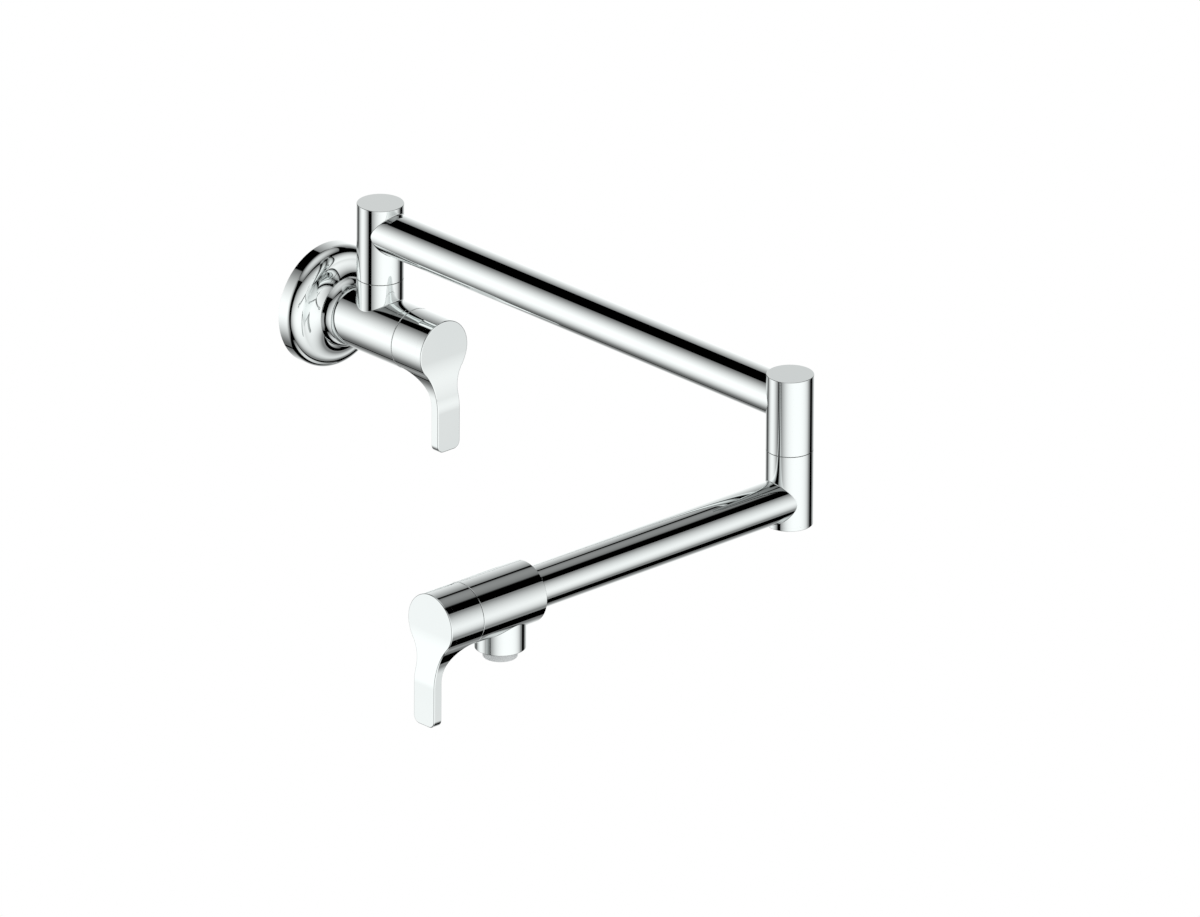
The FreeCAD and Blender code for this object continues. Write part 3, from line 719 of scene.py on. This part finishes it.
@dataclass
class WallValve(Valve):
    """Wall valve body with the fixed half of the wall post."""

    place: Place = WALL_VALVE
    back: list[Corner] = field(default_factory=lambda: [
        Corner(VALVE_RADIUS, BODY_SHOULDER), Corner(PASSAGE, INLET_END), Corner(INLET, INLET_END),
        Corner(INLET, BODY_BACK), Corner(BODY_SPIGOT, BODY_BACK, 0.3), Corner(BODY_SPIGOT, BODY_SHOULDER)])
    fillet: float = 0.5
    root: float = 14.0
    stub_edge: float = 0.12

    def build(self, shop: Workshop) -> None:
        """Barrel, and the post's stub that stands on it up to the swivel seam.

        Args:
            shop: holds the materials and keeps the pieces.
        """
        foot = Saddle(VALVE_RADIUS, POST_RADIUS, self.fillet, self.root)
        top = SEAM_HEIGHT - HALF_SEAM
        stub = branch_skin(foot, [Corner(POST_RADIUS, foot.start() + 1.0), Corner(POST_RADIUS, top, self.stub_edge),
                                  Corner(0.0, top)])
        shop.chrome("wall_valve_body_skin", "wall_base", ["wall_valve_body"], self.barrel(), stub.laid(WALL_STUB))


@dataclass
class OutletValve(Valve):
    """Outlet valve body at the end of the lower arm."""

    place: Place = OUTLET_VALVE
    back: list[Corner] = field(default_factory=lambda: [
        Corner(VALVE_RADIUS, OUTLET_TAIL, 0.3), Corner(PASSAGE, ARM_SOCKET_END),
        Corner(ARM_SOCKET, ARM_SOCKET_END), Corner(ARM_SOCKET, OUTLET_TAIL, 0.1)])

    def build(self, shop: Workshop) -> None:
        """The barrel alone. The arm goes into its back end."""
        shop.chrome("outlet_valve_body_skin", "lower_arm", ["outlet_valve_body"], self.barrel())


@dataclass
class TurningPost:
    """Half of a post that runs on a spigot, with its cap. Heights are from the swivel seam."""

    place: Place
    body: str
    node: str
    cap_node: str
    edge: float = 0.12
    crown_edge: float = 0.35
    cap: float = 2.0
    chamber: float = 10.0
    journal: float = 14.5
    bearing: float = 8.1
    plug: float = 9.9
    plug_depth: float = 4.0

    def build(self, shop: Workshop) -> None:
        """Hollow post, and the cap that closes its end.

        Args:
            shop: holds the materials and keeps the pieces.
        """
        top = TURNING_POST_END - self.cap
        post = lathe([
            Corner(POST_RADIUS, HALF_SEAM, self.edge), Corner(POST_RADIUS, top),
            Corner(self.chamber, top), Corner(self.chamber, self.journal),
            Corner(self.bearing, self.journal), Corner(self.bearing, HALF_SEAM, 0.1)])
        cap = lathe([
            Corner(0.0, top - self.plug_depth), Corner(self.plug, top - self.plug_depth),
            Corner(self.plug, top), Corner(POST_RADIUS, top),
            Corner(POST_RADIUS, TURNING_POST_END, self.crown_edge), Corner(0.0, TURNING_POST_END)], False)
        shop.chrome(self.node + "_skin", self.body, [self.node], post.laid(self.place))
        shop.chrome(self.cap_node + "_skin", self.body, [self.cap_node], cap.laid(self.place))


@dataclass
class ElbowFixedPost:
    """Upper half of the elbow post, on the end of the upper arm."""

    edge: float = 0.12
    crown_edge: float = 0.35

    def build(self, shop: Workshop) -> None:
        """Solid turned post from its closed top to the swivel seam.

        Args:
            shop: holds the materials and keeps the pieces.
        """
        post = lathe([
            Corner(0.0, -TURNING_POST_END), Corner(POST_RADIUS, -TURNING_POST_END, self.crown_edge),
            Corner(POST_RADIUS, -HALF_SEAM, self.edge), Corner(0.0, -HALF_SEAM)], False)
        shop.chrome("elbow_upper_post_skin", "upper_arm", ["elbow_upper_post"], post.laid(ELBOW_SWIVEL))


@dataclass
class Arms:
    """The two arm tubes. The upper one joins two posts, the lower one a post and the valve."""

    fillet: float = 0.5
    root: float = 11.8
    socket_end: float = 193.7

    def build(self, shop: Workshop) -> None:
        """Both tubes, with a small fillet where they are brazed to the posts.

        Args:
            shop: holds the materials and keeps the pieces.
        """
        foot = Saddle(POST_RADIUS, ARM_RADIUS, self.fillet, self.root)
        upper = branch_skin(foot, [], foot, UPPER_SPAN)
        shop.chrome("upper_arm_skin", "upper_arm", ["upper_arm_tube"], upper.laid(UPPER_ARM))
        lower = branch_skin(foot, [Corner(ARM_RADIUS, foot.start() + 1.0), Corner(ARM_RADIUS, self.socket_end),
                                   Corner(0.0, self.socket_end)])
        shop.chrome("lower_arm_skin", "lower_arm", ["lower_arm_tube"], lower.laid(LOWER_ARM))


@dataclass
class Handle:
    """Hub and bent paddle lever in one piece, in the valve's own axes."""

    prefix: str
    place: Place
    seam: float = 27.3
    face: float = 50.2
    split: float = 46.0
    length: float = 56.0
    half: float = 7.95
    offset: float = 4.1
    thickness: float = 5.2
    corner: float = 4.2
    neck: float = 21.9
    bend_start: float = 3.7
    bend_long: float = 22.0
    bend_short: float = 7.7
    web_foot: float = 30.9
    web_low: float = 14.0
    web_turn: float = 37.4
    web_high: float = 26.7
    edge: float = 0.6
    back_edge: float = 0.25
    seam_edge: float = 0.22
    bore: float = 4.05
    cavity: float = 14.2
    cavity_end: float = 36.4
    hub_points: int = 150
    neck_points: int = 60
    side_points: int = 56
    corner_points: int = 16
    foot_points: int = 10
    face_rows: int = 12
    edge_rows: int = 8
    back_edge_rows: int = 5

    def outline(self) -> tuple[np.ndarray, np.ndarray]:
        """Front outline and its outward normals.

        The hub's circle of radius r runs into hollow arcs of radius n. Their centres lie at
        x = half + n and y = -sqrt((r + n)^2 - x^2), so that they touch the circle and the sides.

        Returns:
            The points and their outward normals.
        """
        radius = VALVE_RADIUS
        neck_x = self.half + self.neck
        neck_y = -math.sqrt((radius + self.neck) ** 2 - neck_x ** 2)
        touch = math.atan2(neck_y, neck_x)
        low = -self.length + self.corner

        def arc(centre: tuple[float, float], size: float, start: float, end: float,
                count: int) -> list[np.ndarray]:
            """Arc of the outline, hollow where its size is negative.

            Args:
                centre: its centre.
                size: its radius, with the sign.
                start: angle at its start, in radians.
                end: angle at its end.
                count: how many points, without the last.

            Returns:
                Its points and their normals.
            """
            angle = np.linspace(start, end, count, endpoint=False)
            way = np.stack([np.cos(angle), np.sin(angle)], -1)
            return [np.array(centre) + way * abs(size), way * math.copysign(1.0, size)]

        def run(start: tuple[float, float], end: tuple[float, float], count: int) -> list[np.ndarray]:
            """Straight run of the outline.

            Args:
                start: its first point.
                end: its end.
                count: how many points, without the last.

            Returns:
                Its points and their normals.
            """
            share = np.linspace(0, 1, count, endpoint=False)[:, None]
            way = np.array(end) - np.array(start)
            out = np.array([way[1], -way[0]]) / np.linalg.norm(way)
            return [np.array(start) + share * way, np.repeat(out[None], count, 0)]

        quarter = math.pi / 2
        parts = [
            arc((0, 0), radius, touch, math.pi - touch, self.hub_points),
            arc((-neck_x, neck_y), -self.neck, -touch, 0.0, self.neck_points),
            run((-self.half, neck_y), (-self.half, low), self.side_points),
            arc((-self.half + self.corner, low), self.corner, 2 * quarter, 3 * quarter, self.corner_points),
            run((-self.half + self.corner, -self.length), (self.half - self.corner, -self.length),
                self.foot_points),
            arc((self.half - self.corner, low), self.corner, 3 * quarter, 4 * quarter, self.corner_points),
            run((self.half, low), (self.half, neck_y), self.side_points),
            arc((neck_x, neck_y), -self.neck, math.pi, math.pi + touch, self.neck_points),
        ]
        return np.concatenate([p[0] for p in parts]), np.concatenate([p[1] for p in parts])

    def front(self, y: np.ndarray) -> tuple[np.ndarray, np.ndarray]:
        """Height and normal of the front face: flat, then two parabolas that lift the paddle.

        With turn t = 2 offset / (long + short), the first rises t d^2 / (2 long) at a distance d
        past the start of the bend, and the second brings the slope back to nothing.

        Args:
            y: heights along the lever.

        Returns:
            Distance along the valve axis, and the normals.
        """
        turn = 2 * self.offset / (self.bend_long + self.bend_short)
        run = np.clip(-self.bend_start - y, 0.0, self.bend_long + self.bend_short)
        left = self.bend_long + self.bend_short - run
        rise = np.where(run < self.bend_long, turn * run ** 2 / (2 * self.bend_long),
                        self.offset - turn * left ** 2 / (2 * self.bend_short))
        slope = np.where(run < self.bend_long, turn * run / self.bend_long, turn * left / self.bend_short)
        normal = np.stack([np.zeros_like(y), slope, np.ones_like(y)], -1)
        return self.face + rise, normal / np.linalg.norm(normal, axis=-1, keepdims=True)

    def web(self, y: np.ndarray) -> tuple[np.ndarray, np.ndarray]:
        """Height and normal of the back: flat, a small hollow arc, then a large one up to the seam.

        Args:
            y: heights along the lever.

        Returns:
            Distance along the valve axis, and the normals.
        """
        back = self.face + self.offset - self.thickness
        low_centre = np.array([back - self.web_low, -self.web_foot])
        turn = math.radians(self.web_turn)
        ray = np.array([math.cos(turn), math.sin(turn)])
        high_centre = low_centre + ray * (self.web_low - self.web_high)
        change = low_centre[1] + self.web_low * ray[1]
        is_low = y <= change
        centre_z = np.where(is_low, low_centre[0], high_centre[0])
        centre_y = np.where(is_low, low_centre[1], high_centre[1])
        size = np.where(is_low, self.web_low, self.web_high)
        up = np.clip((y - centre_y) / size, 0.0, 0.999)
        height = centre_z + size * np.sqrt(1 - up ** 2)
        normal = np.stack([np.zeros_like(y), -up, -np.sqrt(1 - up ** 2)], -1)
        in_hub = height < self.seam
        normal[in_hub] = (0.0, 0.0, -1.0)
        return np.maximum(height, self.seam), normal

    def lever(self) -> Skin:
        """Closed skin of the lever, in rows that start and end on its middle line.

        Each outline point gives one column: from the middle line over the front face, round the
        front edge, straight down the side, round the back edge and in again over the back.

        Returns:
            The skin in the valve's own axes.
        """
        line, out = self.outline()
        count = len(line)
        touch_y = line[0][1]
        is_hub = line[:, 1] > touch_y - 1e-6
        out3 = np.column_stack([out, np.zeros(count)])
        spine_low = -self.length + self.corner

        def spine(y: np.ndarray) -> np.ndarray:
            """Points of the middle line nearest to each height."""
            return np.stack([np.zeros_like(y), np.clip(y, spine_low, 0.0)], -1)

        inner = line - out * self.edge
        share = np.linspace(0.0, 1.0, self.face_rows)[:, None, None]
        flat = spine(inner[:, 1]) * (1 - share) + inner * share
        height, face_normal = self.front(flat[..., 1])
        front = np.concatenate([flat, height[..., None]], -1)
        rim_height, rim_normal = self.front(inner[:, 1])
        centre = np.column_stack([inner, rim_height]) - rim_normal * self.edge
        angle = np.linspace(math.pi / 2, 0.0, self.edge_rows)[1:, None, None]
        lean = np.cos(angle) * out3 + np.sin(angle) * rim_normal
        lean /= np.linalg.norm(lean, axis=-1, keepdims=True)
        rounding = centre + lean * self.edge
        back_edge = np.where(is_hub, HAIR, self.back_edge)[:, None]
        low_inner = line - out * back_edge
        back_height, back_normal = self.web(low_inner[:, 1])
        back_height = np.where(is_hub, self.split, back_height)
        back_normal = np.where(is_hub[:, None], (0.0, 0.0, -1.0), back_normal)
        low_centre = np.column_stack([low_inner, back_height]) - back_normal * back_edge
        angle = np.linspace(0.0, math.pi / 2, self.back_edge_rows)[:, None, None]
        low_lean = np.cos(angle) * out3 + np.sin(angle) * back_normal
        low_lean /= np.linalg.norm(low_lean, axis=-1, keepdims=True)
        low_rounding = low_centre + low_lean * back_edge
        share = np.linspace(1.0, 0.0, self.face_rows)[1:, None, None]
        flat = spine(low_inner[:, 1]) * (1 - share) + low_inner * share
        height, under_normal = self.web(flat[..., 1])
        hidden = np.repeat(is_hub[None], len(share), 0)
        height = np.where(hidden, self.split, height)
        under_normal = np.where(hidden[..., None], (0.0, 0.0, -1.0), under_normal)
        under = np.concatenate([flat, height[..., None]], -1)
        return Skin(np.concatenate([front, rounding, low_rounding, under]),
                    np.concatenate([face_normal, lean, low_lean, under_normal]))

    def hub(self) -> Skin:
        """Turned hub behind the lever's plate, hollow for the cartridge and the spindle."""
        return lathe([
            Corner(VALVE_RADIUS, self.seam, self.seam_edge), Corner(VALVE_RADIUS, self.split),
            Corner(self.bore, self.split), Corner(self.bore, self.cavity_end),
            Corner(self.cavity, self.cavity_end), Corner(self.cavity, self.seam, 0.1)])

    def build(self, shop: Workshop) -> None:
        """Lever and hub as one piece."""
        shop.chrome(self.prefix + "_handle_skin", self.prefix + "_lever", [self.prefix + "_handle"],
                    self.lever().laid(self.place), self.hub().laid(self.place))


@dataclass
class Spout:
    """Collar under the outlet valve and the aerator's ring in it."""

    collar: float = 13.7
    drop: float = 26.4
    fillet: float = 0.5
    edge: float = 0.4
    ring: float = 9.25
    ring_low: float = 31.8
    ring_high: float = 20.0
    ring_mouth: float = 7.6
    ring_edge: float = 0.7
    root: float = 14.6
    mouth: float = 9.4
    mouth_top: float = 18.4

    def build(self, shop: Workshop) -> None:
        """Collar that stands on the valve's barrel, open at the bottom, and the ring.

        Args:
            shop: holds the materials and keeps the pieces.
        """
        foot = Saddle(VALVE_RADIUS, self.collar, self.fillet, self.root)
        collar = branch_skin(foot, [
            Corner(self.collar, foot.start() + 1.0), Corner(self.collar, self.drop, self.edge),
            Corner(self.mouth, self.drop, 0.2), Corner(self.mouth, self.mouth_top), Corner(0.0, self.mouth_top)])
        place = Place(SPOUT.origin, (0, 1, 0), (1, 0, 0), (0, 0, -1))
        shop.chrome("spout_collar_skin", "lower_arm", ["spout_collar"], collar.laid(place))
        ring = lathe([
            Corner(self.ring, self.ring_high, 0.1), Corner(self.ring, self.ring_low, self.ring_edge),
            Corner(self.ring_mouth, self.ring_low, 0.3), Corner(self.ring_mouth, self.ring_high, 0.1)])
        shop.pieces.append(make_piece("aerator_ring_skin", [ring.laid(SPOUT)], "lower_arm",
                                      ["aerator_ring"], shop.materials["aerator_plastic"]))


@dataclass
class HiddenWorks:
    """The CAD nodes that stay as they are: plate, cartridges, swivels, seals and screws."""

    def build(self, shop: Workshop) -> None:
        """Gives every CAD node the finish of its slot in the record.

        Args:
            shop: holds the materials and keeps the pieces.
        """
        for row in frame["record"]["subparts"]:
            node = frame["nodes"][row["node"]]
            node.data.materials.clear()
            node.data.materials.append(shop.materials[row["material_slot"]])
            LOG.info("%s: %s", row["node"], row["material_slot"])


# ---- Studio ------------------------------------------------------------------------------------
SOFT_DEGREES = 0.7
SOFT_EDGE = 0.02
HORIZON = 0.06
LEAST_TURN = 0.05
SCREEN_GAMMA = 2.2


def between(value: Wire, low: float, high: float, soft: float) -> Wire:
    """1 between two limits and 0 outside them, with soft edges."""
    return value.eased(low - soft, low + soft) * value.eased(high + soft, high - soft)


@dataclass(frozen=True)
class SoftBox:
    """A flat upright soft box round the set, by compass angle and height in its own plane.

    The height in the plane is tan(height angle) / cos(compass - foot), so that its straight edges
    lie at one height. The foot is the compass angle that the edge is nearest to.
    """

    left: float
    right: float
    foot: float
    top: float
    low_foot: float
    low: float
    centre: tuple[float, float]
    spread: tuple[float, float]
    fall: tuple[float, float]
    base: float
    lift: float
    lean: tuple[float, float] = (0.0, 0.0)

    def plane_height(self, compass: Wire, rise: Wire, foot: float) -> Wire:
        """Height in the plane that is nearest at the compass angle foot."""
        turn = ((compass - foot) * (math.pi / 180)).sum("COSINE")
        return rise / turn.sum("MAXIMUM", LEAST_TURN)

    def glow(self, compass: Wire, rise: Wire) -> Wire:
        """Brightness as seen: base + lift (1 - x^p)(1 - y^q) inside the box, and nothing outside.

        Args:
            compass: compass angle in degrees.
            rise: tangent of the height angle.

        Returns:
            The brightness.
        """
        height = self.plane_height(compass, rise, self.foot)
        low_height = self.plane_height(compass, rise, self.low_foot)
        across = (abs(compass - self.centre[0]) / self.spread[0]).clipped()
        upward = (abs(height - self.centre[1]) / self.spread[1]).clipped()
        value = (1 - across ** self.fall[0]) * (1 - upward ** self.fall[1]) * self.lift + self.base
        from_left = compass - rise * self.lean[0]
        from_right = compass - rise * self.lean[1]
        inside = (from_left.eased(self.left - SOFT_DEGREES, self.left + SOFT_DEGREES)
                  * from_right.eased(self.right + SOFT_DEGREES, self.right - SOFT_DEGREES)
                  * low_height.eased(self.low - SOFT_EDGE, self.low + SOFT_EDGE)
                  * height.eased(self.top + SOFT_EDGE, self.top - SOFT_EDGE))
        return value * inside


@dataclass(frozen=True)
class FlatBox:
    """A level soft box above or below the set. Its plane is one unit away, and side is 1 above, -1 below."""

    side: float
    across: tuple[float, float]
    along: tuple[float, float]
    centre: tuple[float, float]
    spread: tuple[float, float]
    base: float
    lift: float

    def glow(self, x: Wire, y: Wire, z: Wire) -> Wire:
        """Brightness as seen: base + lift (1 - x^2)(1 - y^2) inside the box, and nothing outside.

        Args:
            x: direction to the east.
            y: direction to the north.
            z: direction upwards.

        Returns:
            The brightness.
        """
        depth = z * self.side
        near = depth.sum("MAXIMUM", SOFT_EDGE)
        east, north = x / near, y / near
        fade_x = (abs(east - self.centre[0]) / self.spread[0]).clipped() ** 2.0
        fade_y = (abs(north - self.centre[1]) / self.spread[1]).clipped() ** 2.0
        inside = (between(east, *self.across, SOFT_EDGE) * between(north, *self.along, SOFT_EDGE)
                  * depth.eased(SOFT_EDGE, HORIZON))
        return ((1 - fade_x) * (1 - fade_y) * self.lift + self.base) * inside


@dataclass
class Studio:
    """White surroundings for the camera, soft boxes for the chrome, a pale floor and the camera."""

    azimuth: float = -43.0794
    elevation: float = 22.8069
    roll: float = 0.3262
    lens: float = 1285.0
    sensor: float = 36.0
    distance: float = 22.8027
    aim_right: float = 0.14606
    aim_up: float = -0.08359
    floor_height: float = -0.45
    floor_radius: float = 6.0
    floor_corners: int = 96
    tint: tuple[float, float, float] = (0.985, 1.0, 0.997)
    gain: float = 1.054
    boxes: tuple[SoftBox, ...] = (
        SoftBox(left=-173.0, right=-21.5, foot=-105.0, top=1.344, low_foot=-100.0, low=-2.33,
                centre=(-95.6, -0.327), spread=(86.0, 1.469), fall=(3.384, 1.607),
                base=0.5, lift=0.496, lean=(6.0, 0.0)),
        SoftBox(left=-1.5, right=86.5, foot=40.0, top=0.966, low_foot=40.0, low=-1.93,
                centre=(43.8, -0.215), spread=(41.15, 1.25), fall=(2.05, 1.55),
                base=0.455, lift=0.53),
        SoftBox(left=92.0, right=164.6, foot=118.0, top=0.902, low_foot=118.0, low=-1.28,
                centre=(133.4, -0.136), spread=(36.4, 1.087), fall=(2.18, 1.741),
                base=0.381, lift=0.642, lean=(0.0, -9.2)),
    )
    flats: tuple[FlatBox, ...] = (
        FlatBox(side=1.0, across=(-0.965, 0.86), along=(-0.48, 0.875), centre=(-0.02, 0.12),
                spread=(1.10, 0.70), base=0.30, lift=0.53),
        FlatBox(side=-1.0, across=(-0.75, 0.75), along=(-0.28, 0.10), centre=(0.0, -0.09),
                spread=(0.75, 1.0), base=0.30, lift=0.53),
    )

    def build(self) -> None:
        """World, floor, colour management and camera."""
        self.world()
        self.floor()
        self.camera()
        scene = bpy.context.scene
        scene.view_settings.view_transform = "Standard"

    def world(self) -> None:
        """Soft boxes for reflections, plain white for the camera and for even daylight."""
        world = bpy.data.worlds.new("studio")
        bpy.context.scene.world = world
        world.use_nodes = True
        nodes = Nodes(world.node_tree)
        way = nodes.add("ShaderNodeTexCoord").out("Generated")
        axes = nodes.add("ShaderNodeSeparateXYZ", None, Vector=way)
        x, y, z = axes.out("X"), axes.out("Y"), axes.out("Z")
        compass = y.sum("ARCTAN2", x) * (180 / math.pi)
        rise = z / (x * x + y * y).sum("SQRT")
        glow = self.flats[0].glow(x, y, z) + self.flats[1].glow(x, y, z)
        for box in self.boxes:
            glow = glow + box.glow(compass, rise)
        light = (glow.clipped() * self.gain) ** SCREEN_GAMMA
        seen = nodes.add("ShaderNodeVectorMath", {"operation": "SCALE"}, i0=self.tint, Scale=light)
        rays = nodes.add("ShaderNodeLightPath")
        plain = (rays.out("Is Camera Ray") + rays.out("Is Diffuse Ray")).clipped()
        colour = nodes.add("ShaderNodeMix", {"data_type": "RGBA"}, i0=plain, i6=seen, i7=(1, 1, 1, 1)).out_rgba()
        surface = nodes.add("ShaderNodeBackground", None, Color=colour, Strength=1.0)
        nodes.add("ShaderNodeOutputWorld", None, Surface=surface)

    def floor(self) -> None:
        """Large round floor, white to the camera, pale to everything else, and clear from below."""
        angle = np.linspace(0, 2 * math.pi, self.floor_corners, endpoint=False)
        points = np.column_stack([self.floor_radius * np.cos(angle), self.floor_radius * np.sin(angle),
                                  np.full(self.floor_corners, self.floor_height)])
        mesh = bpy.data.meshes.new("floor")
        mesh.from_pydata(points, [], [list(range(self.floor_corners))])
        floor = bpy.data.objects.new("floor", mesh)
        bpy.context.scene.collection.objects.link(floor)
        material = bpy.data.materials.new("pale_floor")
        material.use_nodes = True
        nodes = Nodes(material.node_tree)
        place = nodes.add("ShaderNodeTexCoord").out("Object")
        cloud = nodes.add("ShaderNodeTexNoise", None, Vector=place, Scale=3.0)
        shade = colour_mix(nodes, cloud, (0.80, 0.81, 0.81), (0.82, 0.83, 0.83))
        pale = nodes.add("ShaderNodeBsdfDiffuse", None, Color=shade)
        white = nodes.add("ShaderNodeEmission", None, Color=(1, 1, 1, 1), Strength=1.0)
        rays = nodes.add("ShaderNodeLightPath")
        above = nodes.add("ShaderNodeMixShader", None, i0=rays.out("Is Camera Ray"), i1=pale, i2=white)
        below = nodes.add("ShaderNodeNewGeometry").out("Backfacing")
        clear = nodes.add("ShaderNodeBsdfTransparent")
        sides = nodes.add("ShaderNodeMixShader", None, i0=below, i1=above, i2=clear)
        nodes.add("ShaderNodeOutputMaterial", None, Surface=sides)
        mesh.materials.append(material)
        floor.visible_glossy = False

    def camera(self) -> None:
        """Long lens at the photograph's angle."""
        turn, rise, roll = map(math.radians, (self.azimuth, self.elevation, self.roll))
        back = Vector((math.sin(turn) * math.cos(rise), -math.cos(turn) * math.cos(rise), math.sin(rise)))
        level = Vector((math.cos(turn), math.sin(turn), 0.0))
        right = level * math.cos(roll) + back.cross(level) * math.sin(roll)
        up = back.cross(right)
        data = bpy.data.cameras.new("camera")
        data.lens = self.lens
        data.sensor_width = self.sensor
        data.clip_start, data.clip_end = 1.0, 100.0
        camera = bpy.data.objects.new("camera", data)
        bpy.context.scene.collection.objects.link(camera)
        camera.location = right * self.aim_right + up * self.aim_up + back * self.distance
        camera.rotation_mode = "QUATERNION"
        camera.rotation_quaternion = Matrix((right, up, back)).transposed().to_quaternion()
        bpy.context.scene.camera = camera


def main() -> None:
    """Builds and dresses the sub-assemblies in order."""
    logging.basicConfig(level=logging.INFO, format="%(name)s %(message)s")
    shop = Workshop()
    HiddenWorks().build(shop)
    parts = [
        WallFlange(), WallValve(),
        TurningPost(WALL_SWIVEL, "upper_arm", "wall_turning_post", "wall_swivel_post_cap"),
        ElbowFixedPost(),
        TurningPost(ELBOW_SWIVEL, "lower_arm", "elbow_lower_post", "elbow_swivel_post_cap"),
        Arms(), OutletValve(), Spout(), Handle("wall", WALL_VALVE), Handle("outlet", OUTLET_VALVE),
    ]
    for part in parts:
        part.build(shop)
    Studio().build()
    LOG.info("%d new pieces", len(shop.pieces))


if __name__ == "__main__":
    main()
